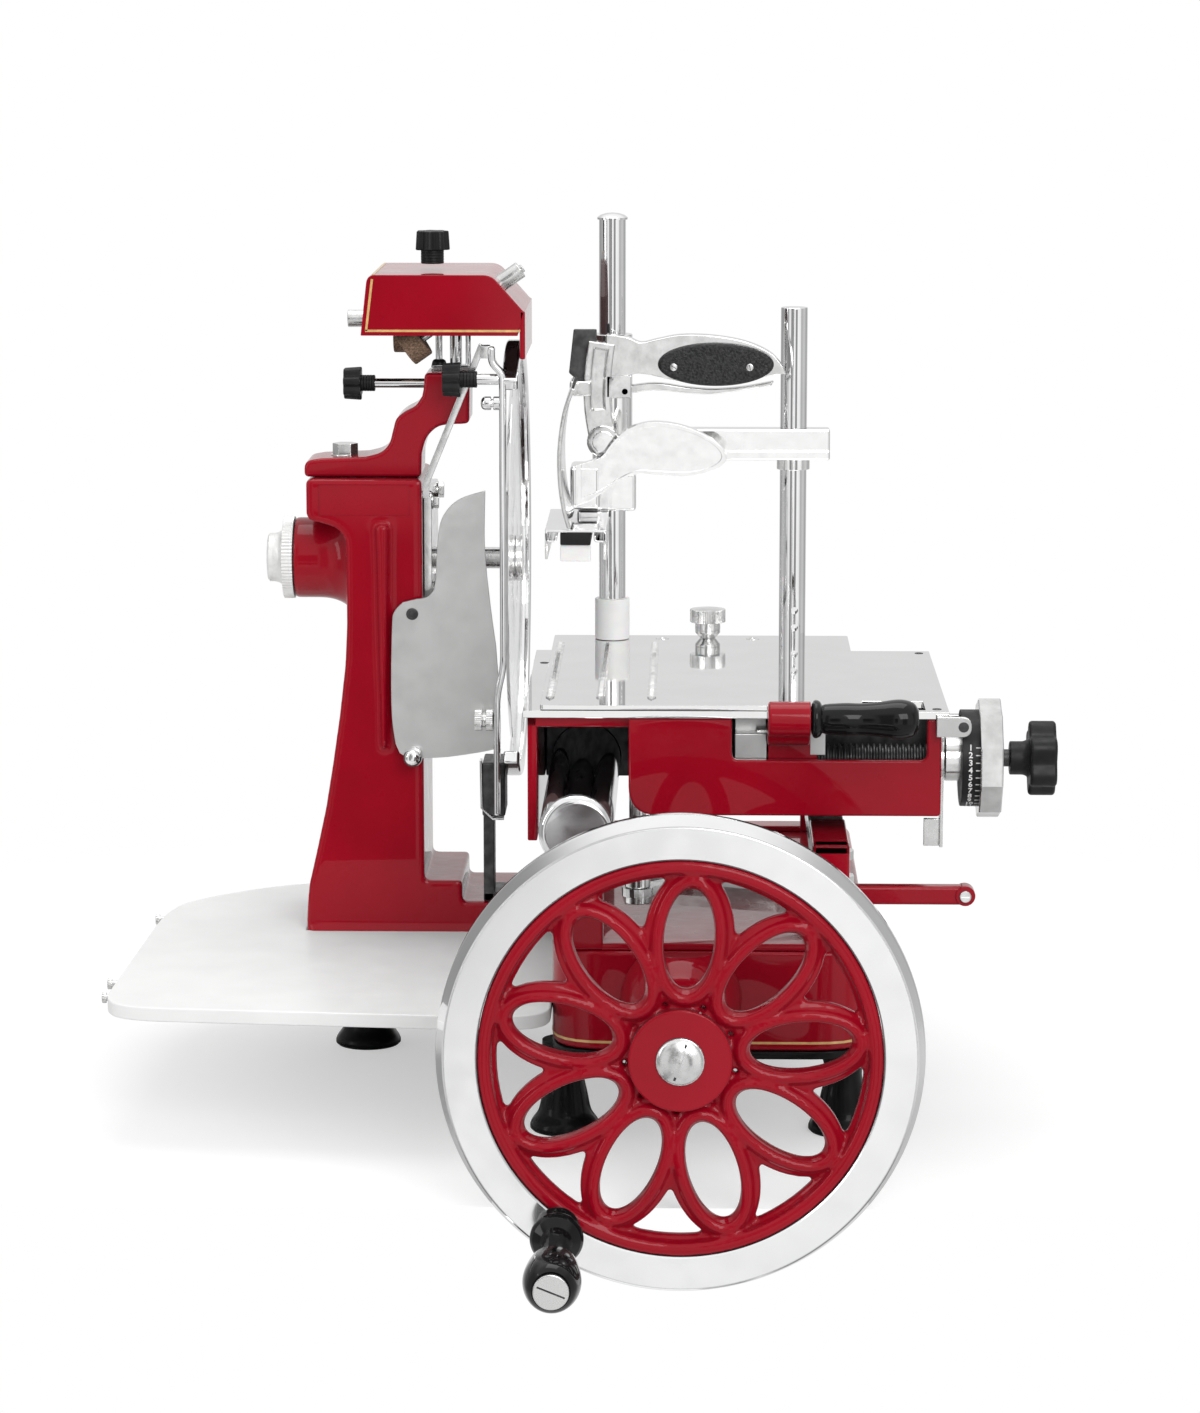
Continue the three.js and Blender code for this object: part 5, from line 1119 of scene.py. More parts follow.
class SLICER_OT_sharpener_arm(bpy.types.Operator):
    """Bent casting that carries the sharpener, with its bolt and rods"""

    bl_idname = "slicer.sharpener_arm"
    bl_label = "Sharpener arm"

    def execute(self, context):
        box = Span("sharpener_arm")
        foot = box.z0
        outline = [(-108, 515), (-109, 503)]
        outline += flowing([(-110, 498), (-115, 491), (-123, 486.5), (-129, 481), (-131.5, 473),
                            (-134.5, 463), (-141, 456.5), (-152, 453.3)], 5)
        outline += rounded([(-185, 452), (-197, 450, 12), (-197, foot), (-111, foot)], False)
        outline += flowing([(-110.5, 456), (-107, 467), (-100, 474.5), (-92, 477), (-82, 477.4)], 5)
        outline += rounded([(-75.5, 478, 6), (-75, 515)], False)
        body = soften(solid("arm_casting", outline, "y", box.y0, box.y1), 3, 4, 40)
        dress(body, "frame", "red_enamel", ["sharpener_arm"])
        bolt = hex_bolt("arm_bolt", 19, 9, "z", (-168.5, box.cy, 0), 452)
        collar = rod("arm_bolt_collar", 9, 450, 453, "z", (-168.5, box.cy, 0))
        dress(joined("arm_bolt", bolt, collar), "frame", "bright_steel")

        rods = Span("sharpener_rods")
        bars = [rod(f"rod_{k}", radius, 515.5, rods.z1, "z", (x, 234, 0), 0.4)
                for k, (x, radius) in enumerate([(-99.5, 2.6), (-87, 4.5), (-78, 2)])]
        foot_plate = block("rod_foot", rods.x0, rods.x1, rods.y0, rods.y1, 515.3, 518, 0.6)
        dress(joined("head_rods", foot_plate, *bars), "frame", "chrome", ["sharpener_rods"])
        seal = turned("rod_seal", rounded([(2.7, 515.6), (6, 515.6, 1), (5, 521, 3), (2.7, 522),
                                           (2.7, 515.6)],
                                          False), "z", (-99.5, 234, 0), SMALL_STEPS)
        dress(seal, "frame", "knob_black")
        return {"FINISHED"}


class SLICER_OT_sharpener_head(bpy.types.Operator):
    """Sloped hood with its painted line, and the block inside it"""

    bl_idname = "slicer.sharpener_head"
    bl_label = "Sharpener head"

    def execute(self, context):
        box = Span("sharpener_hood")
        top, low = 588, 544
        front, rear = box.y0, box.y1
        outer = rounded([(-148, top, 6), (-153, low), (-39, low), (-34, 561, 1), (-58, top, 6)])
        shell = solid("hood_shell", outer, "y", front, rear)
        hollow = solid("hood_hollow", [(-144, top - 4), (-149, low - 20), (-43, low - 20), (-38.5, 560),
                                       (-60, top - 4)], "y", front + 4, rear - 4)
        carve(shell, hollow)
        soften(shell, 2.8, 4, 30)
        lip = block("hood_lip", -37.5, -33.5, front, rear, 527, 562, 1)
        dress(joined("hood_shell", shell, lip), "sharpener", "red_enamel", ["sharpener_hood"])
        inside = block("hood_block", -108, -66, 222, 246, 548, top - 5, 1)
        dress(inside, "sharpener", "cast_aluminium")

        width = size("line_width")
        path = [(-144.3, top - 3), (-148.9, low + 3.6)]
        line = solid("hood_line", band(path, width), "y", front - PROUD, front + 0.5)
        along = solid("hood_line_low", band([(-149.6, low + 3.6), (-37, low + 3.6)], width), "y",
                      front - PROUD, front + 0.5)
        back = solid("hood_line_top", box_outline(-144.5, -144.5 + width, front + 3, rear - 3), "z",
                     top - 0.5,
                     top + PROUD)
        dress(joined("hood_line", line, along, back), "sharpener", "gold_line")
        return {"FINISHED"}


class SLICER_OT_knobs(bpy.types.Operator):
    """The three fluted black knobs and their steel studs"""

    bl_idname = "slicer.knobs"
    bl_label = "Fluted knobs"

    def execute(self, context):
        clamp = Span("hood_knob")
        knob = hand_knob("hood_knob_black", 13, 14, 8.5, 10, "-z", (clamp.cx, clamp.cy, clamp.z1))
        dress(knob, "hood_clamp", "knob_black", ["hood_knob"])
        left = Span("left_arm_knob")
        knob = hand_knob("left_knob_black", 12.5, 13, 6, 10, "x", (left.x0, left.cy, left.cz))
        dress(knob, "left_lock", "knob_black", ["left_arm_knob"])
        stud = rod("left_knob_stud", 3.5, left.x0 + 22, left.x1, "x", (0, left.cy, left.cz))
        dress(stud, "left_lock", "chrome")
        right = Span("right_arm_knob")
        knob = hand_knob("right_knob_black", 13, 13, 6, 12, "x", (right.x0, right.cy, right.cz))
        dress(knob, "right_lock", "knob_black", ["right_arm_knob"])
        stud = rod("right_knob_stud", 4, right.x0 + 24, right.x1, "x", (0, right.cy, right.cz))
        dress(stud, "right_lock", "chrome")
        return {"FINISHED"}


class SLICER_OT_stones(bpy.types.Operator):
    """The two sharpening stones and their push rods"""

    bl_idname = "slicer.stones"
    bl_label = "Sharpening stones"

    def execute(self, context):
        pusher = Span("truing_pusher")
        centre = (0, 262, 549.5)
        button = rod("truing_button", 6.4, pusher.x0, -147, "x", centre, 0.8)
        shank = rod("truing_shank", 3.5, -148, pusher.x1 - 2, "x", centre)
        holder = block("truing_holder", pusher.x1 - 6, pusher.x1, 253, 271, 543, 555.5, 1)
        dress(joined("truing_push_rod", button, shank, holder), "truing_unit", "brushed_steel",
              ["truing_pusher"])
        disc = Span("truing_stone")
        wheel = rod("truing_stone_disc", 12.6, disc.x0, disc.x0 + 12, "x", (0, 262, 537), 1.2, 48)
        dress(wheel, "truing_unit", "stone", ["truing_stone"])

        spot = (-118, 204, 534)
        tilt = (0, -35, 0)
        shank = rod("grinding_shank", 3, 5.3, 100, "x", (0, 0, 0))
        button = rod("grinding_button", 6.3, 62, 98, "x", (0, 0, 0), 0.8)
        push = placed(joined("grinding_push_rod", shank, button), spot, tilt)
        dress(push, "grinding_unit", "brushed_steel", ["grinding_pusher"])
        wheel = placed(rod("grinding_stone_disc", 13, -5, 10, "x", (0, 0, 0), 1.2, 48), spot, tilt)
        dress(wheel, "grinding_unit", "stone", ["grinding_stone"])
        return {"FINISHED"}


class SLICER_OT_slide_ways(bpy.types.Operator):
    """Guide tube, right rail and their red brackets"""

    bl_idname = "slicer.slide_ways"
    bl_label = "Slide ways"

    def bracket(self, name, y0, depth, tube, rail, base_top):
        """One bracket that holds the tube and, past a bridge, the rail."""
        half = 16.5
        post = block(name + "_post", tube.cx - half, tube.cx + half, y0, y0 + depth, base_top,
                     tube.cz - 18.75, 1.6, 3)
        carve(post, rod(name + "_seat", 25.3, y0 - 1, y0 + depth + 1, "y", (tube.cx, 0, tube.cz), 0, 96))
        bridge = block(name + "_bridge", tube.cx + half - 1, rail.x0 + 3, y0, y0 + 16, base_top, 147, 1)
        support = block(name + "_support", rail.x0 + 2, rail.x1 - 2, y0, y0 + 16, base_top, rail.z0 - 0.3,
                        1.6, 3)
        return [post, bridge, support]

    def execute(self, context):
        tube = Span("guide_tube")
        centre = (tube.cx, 0, tube.cz)
        radius = 25
        body = rounded([(0, tube.y0), (radius - 3, tube.y0, 2), (radius, tube.y0 + 3, 1.5),
                        (radius, tube.y0 + 7.4), (radius - 0.3, tube.y0 + 7.6), (radius, tube.y0 + 7.8),
                        (radius, tube.y1 - 6), (radius - 0.3, tube.y1 - 5.8), (radius, tube.y1 - 5.6),
                        (radius, tube.y1, 1.5), (0, tube.y1)], False)
        dress(turned("guide_tube_chrome", body, "y", centre), "frame", "chrome", ["guide_tube"])

        rail = Span("right_rail")
        bar = block("rail_steel", rail.x0, rail.x1, rail.y0, rail.y1, rail.z0, rail.z1, 0.8)
        dress(bar, "frame", "bright_steel", ["right_rail"])

        base_top = Span("base_housing").z1 + 0.3
        front = Span("front_bracket")
        parts = self.bracket("front", -58, 20, tube, rail, base_top)
        parts.append(block("rail_end_top", rail.x0, rail.x1, front.y0, 18, rail.z1 + 0.3, front.z1, 2, 3))
        parts.append(block("rail_end_face", rail.x0, rail.x1, front.y0, rail.y0 - 0.3, rail.z0 - 6,
                           front.z1, 2, 3))
        parts.append(block("rail_end_seat", rail.x0, rail.x1, front.y0, rail.y0 + 4, rail.z0 - 6.3,
                           rail.z0 - 0.3, 1.5))
        stop = (276, -50, 181)
        parts.append(block("stop_beam", rail.x1 - 3, stop[0], stop[1] - 6, stop[1] + 6, stop[2] - 6.5,
                           stop[2] + 6.5, 2.4, 3))
        parts.append(rod("stop_eye", 7, stop[1] - 7, stop[1] + 7, "y", (stop[0], 0, stop[2]), 1.2, 48))
        dress(joined("front_bracket_red", *parts), "frame", "red_enamel", ["front_bracket"])
        pin = rod("stop_pin", 4, stop[1] - 9, stop[1] + 9, "y", (stop[0], 0, stop[2]), 0.6)
        slot = block("stop_pin_slot", stop[0] - 3.2, stop[0] + 3.2, stop[1] - 10, stop[1] - 8.4,
                     stop[2] - 0.5, stop[2] + 0.5, 0)
        dress(carve(pin, slot), "frame", "bright_steel")

        parts = self.bracket("rear", 352, 20, tube, rail, base_top)
        dress(joined("rear_bracket_red", *parts), "frame", "red_enamel", ["rear_bracket"])
        return {"FINISHED"}


class SLICER_OT_carriage(bpy.types.Operator):
    """Carriage casting with its window, roller fork and drive lug"""

    bl_idname = "slicer.carriage"
    bl_label = "Carriage"

    def execute(self, context):
        box = Span("carriage_casting")
        left, right, low, top = 45, 260, 231, box.z1
        front, rear = box.y0, box.y1
        wall = 6
        outline = rounded([(left, top), (left, low, 20), (right, low, 3), (right, top)], True, 10)
        shell = solid("carriage_shell", outline, "y", front, rear)
        room = block("carriage_room", left + wall, right - wall, front + wall, rear - wall, low - 3, top + 1,
                     0)
        window = solid("carriage_window", rounded([(116, top + 2), (116, 270, 5), (250, 270, 5),
                                                   (250, top + 2)]), "y", front - 2, front + wall + 1)
        carve(shell, room, window)
        soften(shell, 1.6, 3, 50)
        side = block("carriage_side", box.x0, box.x0 + 6.7, front + 9, rear, 211, top, 1)
        web = block("carriage_web", box.x0, left + 1, front + 9, rear, top - 8, top, 1)
        rib = block("carriage_rib", left + 1, right - 1, 161, 179, top - 8, top, 0.5)
        rail = Span("right_rail")
        fork = [block(f"fork_{k}", x, x + 4, 161, 179, 215, top, 0.8)
                for k, x in enumerate((rail.x0 - 1, rail.x1 - 3))]
        lug = turned("drive_lug", rounded([
            (0, 163.3), (9, 163.3, 0.6), (9, 168.2, 0.6), (5, 168.2), (5, 174.8), (9, 174.8, 0.6),
            (9, 181.5, 0.6), (6, 181.5), (6, 248), (0, 248)], False), "z", (51, 0, 0), 48)
        dress(joined("carriage_red", shell, side, web, rib, *fork), "carriage", "red_enamel",
              ["carriage_casting"])
        dress(lug, "carriage", "bright_steel")

        lug_plate = solid("dial_lug", rounded([(right - 1, 280, 1), (282, 280, 5), (282, 292, 5),
                                               (right - 1, 292, 1)]), "y", 28, 36)
        bore = rod("dial_lug_bore", 2.6, 27, 37, "y", (right + 18, 0, 286), 0)
        carve(lug_plate, bore)
        soften(lug_plate, 0.6, 2)
        dress(lug_plate, "carriage", "cast_aluminium")

        plate = Span("lower_plate")
        sheet = block("lower_sheet", plate.x0, plate.x1, plate.y0, plate.y1, plate.z0, plate.z1, 0)
        gap = block("lower_slot", 116, 249, -23, 13, plate.z0 - 1, plate.z1 + 1, 0)
        carve(sheet, gap)
        soften(sheet, 0.4, 2)
        dress(sheet, "carriage", "mirror_plate", ["lower_plate"])
        nut = Span("table_nut")
        # A dark steel sheet behind the window: painted shade that makes the carriage's inside read dark
        shade_sheet = block("window_liner", left + wall + 1, right - wall - 1, nut.y1 + 5, nut.y1 + 7, low + 4,
                      plate.z0 - 0.4, 0.4)
        dress(shade_sheet, "carriage", "dark_steel")
        screws = []
        for number, (x, y) in enumerate([(plate.x1 - 8, plate.y1 - 10), (plate.x1 - 8, plate.y0 + 12),
                                         (plate.x0 + 8, plate.y1 - 60)]):
            screws.append(ring(f"lower_screw_{number}", 3.2, 1.5, plate.z1 - 0.5, plate.z1 + 0.25, "z",
                               (x, y, 0), 0.2, SMALL_STEPS))
        dress(joined("lower_screws", *screws), "carriage", "dark_steel")
        return {"FINISHED"}


class SLICER_OT_feed(bpy.types.Operator):
    """Feed screw, star knob, thickness dial and pawl lever"""

    bl_idname = "slicer.feed"
    bl_label = "Feed and dial"

    drum_numbers = 15
    number_step = 9
    first_number = 22

    def thread(self, screw, radius):
        """The visible thread: a zigzag profile spun about the screw's axis."""
        pitch, root, end, neck = 4, radius - 2, 258, 6
        profile = [(0, screw.x0), (root, screw.x0)]
        for turn in range(int((end - 5 - screw.x0) / pitch)):
            start = screw.x0 + 2 + turn * pitch
            profile += [(root, start), (radius, start + 1.2), (radius, start + 2), (root, start + 3.2)]
        return profile + [(root, end), (neck, end), (neck, screw.x1), (0, screw.x1)]

    def execute(self, context):
        screw = Span("lead_screw")
        centre = (0, screw.cy, screw.cz)
        dress(turned("feed_screw_thread", self.thread(screw, 9.5), "x", centre, 48), "feed_screw",
              "dark_steel", ["lead_screw"])
        knob = Span("star_knob")
        hub_end = knob.x0 + 13
        hub = turned("star_hub", rounded([(0, knob.x0), (11.6, knob.x0, 1), (11.6, hub_end - 3, 2),
                                          (15, hub_end + 2), (0, hub_end + 2)], False), "x", centre)
        star = solid("star_head", lobed(26, 6, 5, 12, 1.3), "z", 0, knob.x1 - hub_end)
        soften(star, 2.4, 4, 50)
        placed(star, (hub_end, screw.cy, screw.cz), (0, 90, 0))
        dress(joined("star_knob_black", star, hub), "feed_screw", "knob_black", ["star_knob"])

        dial = Span("thickness_dial")
        drum0, drum1, drum_radius = 274, 286, 33.5
        scallop = solid("dial_ring", lobed(41.7, 10, 2.4, 16, 0.45), "z", 0, dial.x1 - drum1)
        soften(scallop, 1.2, 3, 50)
        placed(scallop, (drum1, screw.cy, screw.cz), (0, 90, 0))
        carve(scallop, rod("dial_dish", 33, dial.x1 - 3, dial.x1 + 2, "x", centre, 0, 96))
        dress(scallop, "dial", "cast_aluminium", ["thickness_dial"])
        drum = ring("dial_drum", drum_radius, 6.3, drum0, drum1 + 1, "x", centre, 0.5)
        dress(drum, "dial", "knob_black")
        hub = ring("dial_hub", 16, 6.3, dial.x0, drum0 + 1, "x", centre, 0.8)
        dress(hub, "dial", "bright_steel")
        self.numbers(screw, drum1, drum_radius)

        front = screw.cy - 32.2
        lug = solid("pointer_lug", rounded([(256, 288), (280, 288, 6.8), (280, 302, 6.8), (256, 302)]), "y",
                    front, front + 3.2)
        web = block("pointer_web", 257, 261, front + 1.5, screw.cy - 12, 289, 301, 1)
        dress(joined("dial_pointer", soften(lug, 0.6, 2, 40), web), "carriage", "satin_sheet")
        dress(rod("pointer_screw", 3.6, front - 0.4, front + 1, "y", (274.5, 0, 295), 0.3, 32), "carriage",
              "dark_steel")

        pawl = Span("feed_pawl_lever")
        eye = ring("pawl_eye", 14, 10.5, pawl.x0, pawl.x1, "x", centre, 0.3)
        leg = block("pawl_leg", pawl.x0, pawl.x1, screw.cy - 7, screw.cy + 7, pawl.z0, screw.cz - 11.5, 0.4)
        blade = block("pawl_blade", pawl.x1 - 13, pawl.x1, screw.cy - 2, screw.cy + 2, pawl.z0, 225, 0.4)
        dress(joined("pawl_steel", eye, leg, blade), "pawl_lever", "brushed_steel", ["feed_pawl_lever"])
        return {"FINISHED"}

    def numbers(self, screw, edge, radius):
        """Numbers and lines round the drum, each made a flat mesh and laid on it."""
        marks = []
        for number in range(self.drum_numbers):
            angle = self.first_number - self.number_step * number
            object_mode()
            bpy.ops.object.select_all(action="DESELECT")
            bpy.ops.object.text_add(location=(0, 0, 0))
            text = bpy.context.object
            text.data.body = str(number + 1)
            text.data.size = size("digit_height") * MM * 1.1
            text.data.align_x = "CENTER"
            text.data.align_y = "CENTER"
            text.data.extrude = 0.12 * MM
            text.data.offset = 0.14 * MM
            bpy.ops.object.convert(target="MESH")
            text.name = f"number_{number}"
            placed(text, (edge - 6.4, -radius, 0), (90, 0, 0))
            marks.append(placed(text, turn=(-angle, 0, 0)))
            line = block(f"mark_{number}", edge - 2.8, edge - 0.2, -radius - 0.15, 0.2 - radius, -0.35, 0.35,
                         0)
            marks.append(placed(line, turn=(-angle, 0, 0)))
        dress(placed(joined("dial_numbers", *marks), (0, screw.cy, screw.cz)), "dial", "dial_white")


class SLICER_OT_table(bpy.types.Operator):
    """Mirror bright table, its spiked strips, posts, sleeve and knurled screw"""

    bl_idname = "slicer.table"
    bl_label = "Table"

    def strip(self, name, x, y0, y1, top):
        """A strip pointed at both ends, with a row of small teeth along its crest."""
        half = 3
        point = 9
        outline = [(x, y0), (x + half, y0 + point), (x + half, y1 - point), (x, y1), (x - half, y1 - point),
                   (x - half, y0 + point)]
        base = soften(solid(name, outline, "z", top - 0.3, top + 0.9), 0.3, 2)
        teeth = 44
        pitch = (y1 - y0 - 2 * point) / teeth
        crest = []
        for tooth in range(teeth):
            start = y0 + point + tooth * pitch
            crest += [(start, top + 0.8), (start + pitch / 2, top + 2)]
        crest += [(y1 - point, top + 0.8), (y1 - point, top + 0.2), (y0 + point, top + 0.2)]
        comb = solid(name + "_teeth", crest, "x", x - 1.3, x + 1.3)
        return joined(name, base, comb)

    def execute(self, context):
        box = Span("upper_plate")
        posts = Span("table_posts")
        left_x, right_x, post_y = POSTS
        top = box.z0 + 3.3
        sheet = soften(solid("table_sheet", box_outline(box.x0, box.x1, box.y0, box.y1, 2), "z", box.z0,
                             top),
                       0.4, 2, 50)
        strips = [self.strip(f"strip_{k}", x, -7, 250, top) for k, x in enumerate((-10, 25, 60.5))]
        dress(sheet, "table", "mirror_plate", ["upper_plate"])
        dress(joined("table_strips", *strips), "table", "bright_steel")
        screws = [ring(f"table_screw_{k}", 5, 2.6, top - 0.6, top + 0.3, "z", (x, post_y, 0), 0.25,
                       SMALL_STEPS)
                  for k, x in enumerate((66, 134))]
        dress(joined("table_screws", *screws), "table", "bright_steel")

        beam = block("post_beam", posts.x0, posts.x1, posts.y0, posts.y1, posts.z0, box.z0 - 0.3, 0.8)
        dress(beam, "table", "bright_steel", ["table_posts"])
        cap = [(0, posts.z1), (5, posts.z1 - 0.5), (9, posts.z1 - 1.8), (11.4, posts.z1 - 3.6),
               (11.4, posts.z1 - 5)]
        left = turned("left_post", [(0, 290), (10, 290), (10, posts.z1 - 5), (11.2, posts.z1 - 5),
                                    *cap[:0:-1],
                                    (0, posts.z1)], "z", (left_x, post_y, 0))
        dress(left, "table", "chrome")
        right = rod("right_post", 10, 290, 558, "z", (right_x, post_y, 0), 0.8, ROUND_STEPS)
        holes = [rod(f"post_hole_{k}", 2.7, post_y - 12, post_y - 3, "y", (right_x + 1.5, 0, z), 0)
                 for k, z in enumerate((318, 331))]
        carve(right, *holes)
        dress(right, "table", "chrome")
        sleeve = ring("post_sleeve", 13, 10.1, top + 0.3, 339, "z", (left_x, post_y, 0), 0.8)
        dress(sleeve, "table", "white_sleeve")

        knob = Span("table_knob")
        z = knob.z0
        lower = rounded([(0, z), (6, z), (9.5, z + 4, 1), (9.5, z + 5.6), (8.9, z + 5.9), (9.5, z + 6.2),
                         (9.5, z + 12, 0.5), (0, z + 12)], False)
        neck = turned("screw_neck", lower, "z", (knob.cx, knob.cy, 0), 64)
        head = knurled("screw_head", 13.5, z + 12, knob.z1 - 1, "z", (knob.cx, knob.cy, 0), 60, 0.7)
        dome = turned("screw_dome", [(0, knob.z1), (7, knob.z1 - 0.4), (12.4, knob.z1 - 1.3),
                                     (12.4, knob.z1 - 2), (0, knob.z1 - 2)], "z", (knob.cx, knob.cy, 0), 64)
        dress(joined("table_screw_steel", neck, head, dome), "table_screw", "bright_steel", ["table_knob"])

        nut = Span("table_nut")
        for name, x0, x1, y0, low, top in (("nut_left", nut.x0, nut.x0 + 22, nut.y0, nut.z0, 287),
                                           ("nut_stem", nut.x0, nut.x0 + 22, -7, nut.z0, nut.z1),
                                           ("nut_right", nut.x1 - 11, nut.x1, nut.y0, nut.z0 + 16, nut.z1)):
            cheek = block(name, x0, x1, y0, nut.y1, low, top, 0.8)
            bore = rod(name + "_bore", 9.8, x0 - 1, x1 + 1, "x", (0, -5, 268), 0, 64)
            dress(carve(cheek, bore), "table", "satin_sheet")
        bridge = block("nut_bridge", nut.x0 + 20, nut.x1 - 10, -7, nut.y1 - 0.1, nut.z1 - 9, nut.z1 - 0.1,
                       0.5)
        dress(bridge, "table", "brushed_steel", ["table_nut"])
        red = block("lever_stop", nut.x0 + 23, nut.x0 + 57, nut.y0 + 0.1, -15.2, nut.z0 + 0.4, 288, 1)
        dress(red, "table", "red_enamel")
        return {"FINISHED"}


class SLICER_OT_release_lever(bpy.types.Operator):
    """Red release lever with its turned black grip"""

    bl_idname = "slicer.release_lever"
    bl_label = "Release lever"

    def execute(self, context):
        box = Span("release_lever")
        grip = Span("lever_grip")
        left, right = 140.3, 169.3
        pivot = (-12, 287)
        end = (grip.cy, grip.cz)
        path = flowing([pivot, (-28, 285), (-42, 289), end], 6)
        arm = soften(solid("lever_arm", band(path, 8), "x", left, right), 1.6, 3, 50)
        eye = rod("lever_eye", 6.5, left, right, "x", (0, *pivot), 0.8)
        hub = turned("lever_hub", rounded([(0, left), (12, left, 2.4), (12, right, 0.8), (0, right)], False),
                     "x", (0, *end))
        dress(joined("lever_red", arm, eye, hub), "lever", "red_enamel", ["release_lever"])
        pin = rod("lever_pin", 3, box.x0, box.x1, "x", (0, *pivot), 0.4)
        dress(pin, "lever", "brushed_steel")

        start = grip.x0
        length = grip.x1 - start
        body = flowing([(9.6, start + 7.6), (10.6, start + 12), (11.2, start + 24), (11, start + 34),
                        (12, start + 46), (13.6, start + 57), (13.4, start + 64), (11.2, start + 70),
                        (7, start + length - 0.6)], 6)
        collar = flowing([(10.5, start + 0.4), (12.8, start + 2), (13.1, start + 4), (12, start + 6.2)], 4)
        profile = [(0, start), (9, start), *collar, *body, (0, start + length)]
        dress(turned("lever_grip_black", profile, "x", (0, *end)), "lever", "gloss_black", ["lever_grip"],
              40)
        return {"FINISHED"}


class SLICER_OT_press(bpy.types.Operator):
    """Press carrier on the posts, its leaf handle and toothed plates"""

    bl_idname = "slicer.press"
    bl_label = "Press carrier"

    def leaf(self, front, back):
        """The leaf shaped lower handle with its raised edge."""
        outline = flowing([(2, 416), (16, 422), (30, 432), (46, 440), (62, 439.5), (82, 438.5), (98, 441),
                           (109, 446), (113, 453), (107, 462), (92, 471.5), (74, 477), (56, 478), (40, 473),
                           (29, 463), (20, 452), (2, 446)], 4)
        middle_x, middle_z = 64, 457
        face = [(middle_x + (x - middle_x) * 0.93, middle_z + (z - middle_z) * 0.85) for x, z in outline]
        leaf = solid("leaf_plate", outline, "y", front, back)
        carve(leaf, solid("leaf_pocket", face, "y", front - 1, front + 1.6))
        return soften(leaf, 0.9, 3, 40)

    def execute(self, context):
        box = Span("press_carrier")
        left_x, right_x, post_y = POSTS
        carrier_front = post_y - 27
        leaf_front = carrier_front - 35
        leaf_back = leaf_front + 13
        sleeve = ring("press_sleeve", 15, 10.3, 408, box.z1, "z", (left_x, post_y, 0), 1)
        flange = block("press_arm_flange", left_x + 12, box.x1, post_y - 13.5, post_y + 6, 451, 468, 1.6, 3)
        ledge = block("press_arm_ledge", left_x + 12, box.x1, post_y - 15.5, post_y + 10, 445, 452.5, 1.6, 3)
        collar = ring("press_collar", 12.4, 10.3, 437, 447, "z", (right_x, post_y, 0), 0.6)
        saddle = block("press_saddle", left_x - 26, left_x + 18, carrier_front, post_y - 8, 408, 436, 2.5, 3)
        pin = rod("press_pin", 5, leaf_back + 1, post_y - 11, "y", (22, 0, 462))
        head = rod("press_pin_head", 8, leaf_back + 0.4, leaf_back + 2.7, "y", (22, 0, 462), 0.7, 48)
        root = block("press_root", -2, 20, leaf_front + 1, carrier_front + 1, 413.5, 445.5, 3, 4)
        for number, (body, x) in enumerate(((flange, right_x), (ledge, right_x), (saddle, left_x))):
            carve(body, rod(f"press_bore_{number}", 10.3, 400, 545, "z", (x, post_y, 0), 0, 64))
        carrier = joined("press_casting", sleeve, flange, ledge, collar, saddle, pin, head, root,
                         self.leaf(leaf_front, leaf_back))
        # The carrier takes the lighter aluminium copy, whose paleness is painted highlight
        dress(carrier, "press", "pale_aluminium", ["press_carrier"])

        depth0, depth1 = carrier_front - 110, post_y - 17
        top = block("clip_top", -18, 26, depth0, depth1, 406.4, 408.4, 0.6)
        hooks = [soften(solid(f"clip_hook_{side}", band(rounded([
            (4 + side * 21, 407), (4 + side * 21, 400, 2), (4 + side * 14, 400, 2), (4 + side * 14, 404)],
            False),
            1.6), "y", depth0, depth1), 0.4, 2) for side in (-1, 1)]
        dress(joined("clip_top", top, *hooks), "press", "chrome")
        pad = block("clip_pad", -7, 15, depth0 + 0.6, depth1, 397, 406.2, 1)
        dress(pad, "press", "knob_black")
        tab = block("clip_tab", -7, 15, depth0 + 3, depth0 + 6, 385, 397.2, 0.8)
        dress(tab, "press", "white_sleeve")
        sides = []
        for number, x in enumerate((-18, 23)):
            teeth = 14
            pitch = (depth1 - depth0) / teeth
            edge = [(depth0, 406), (depth0, 396)]
            for tooth in range(teeth):
                start = depth0 + tooth * pitch
                edge += [(start + pitch / 2, 386.2), (start + pitch, 396)]
            edge += [(depth1, 406)]
            sides.append(soften(solid(f"clip_side_{number}", edge, "x", x + number, x + number + 2), 0.3, 2))
        dress(joined("clip_teeth", *sides), "press", "bright_steel")
        return {"FINISHED"}


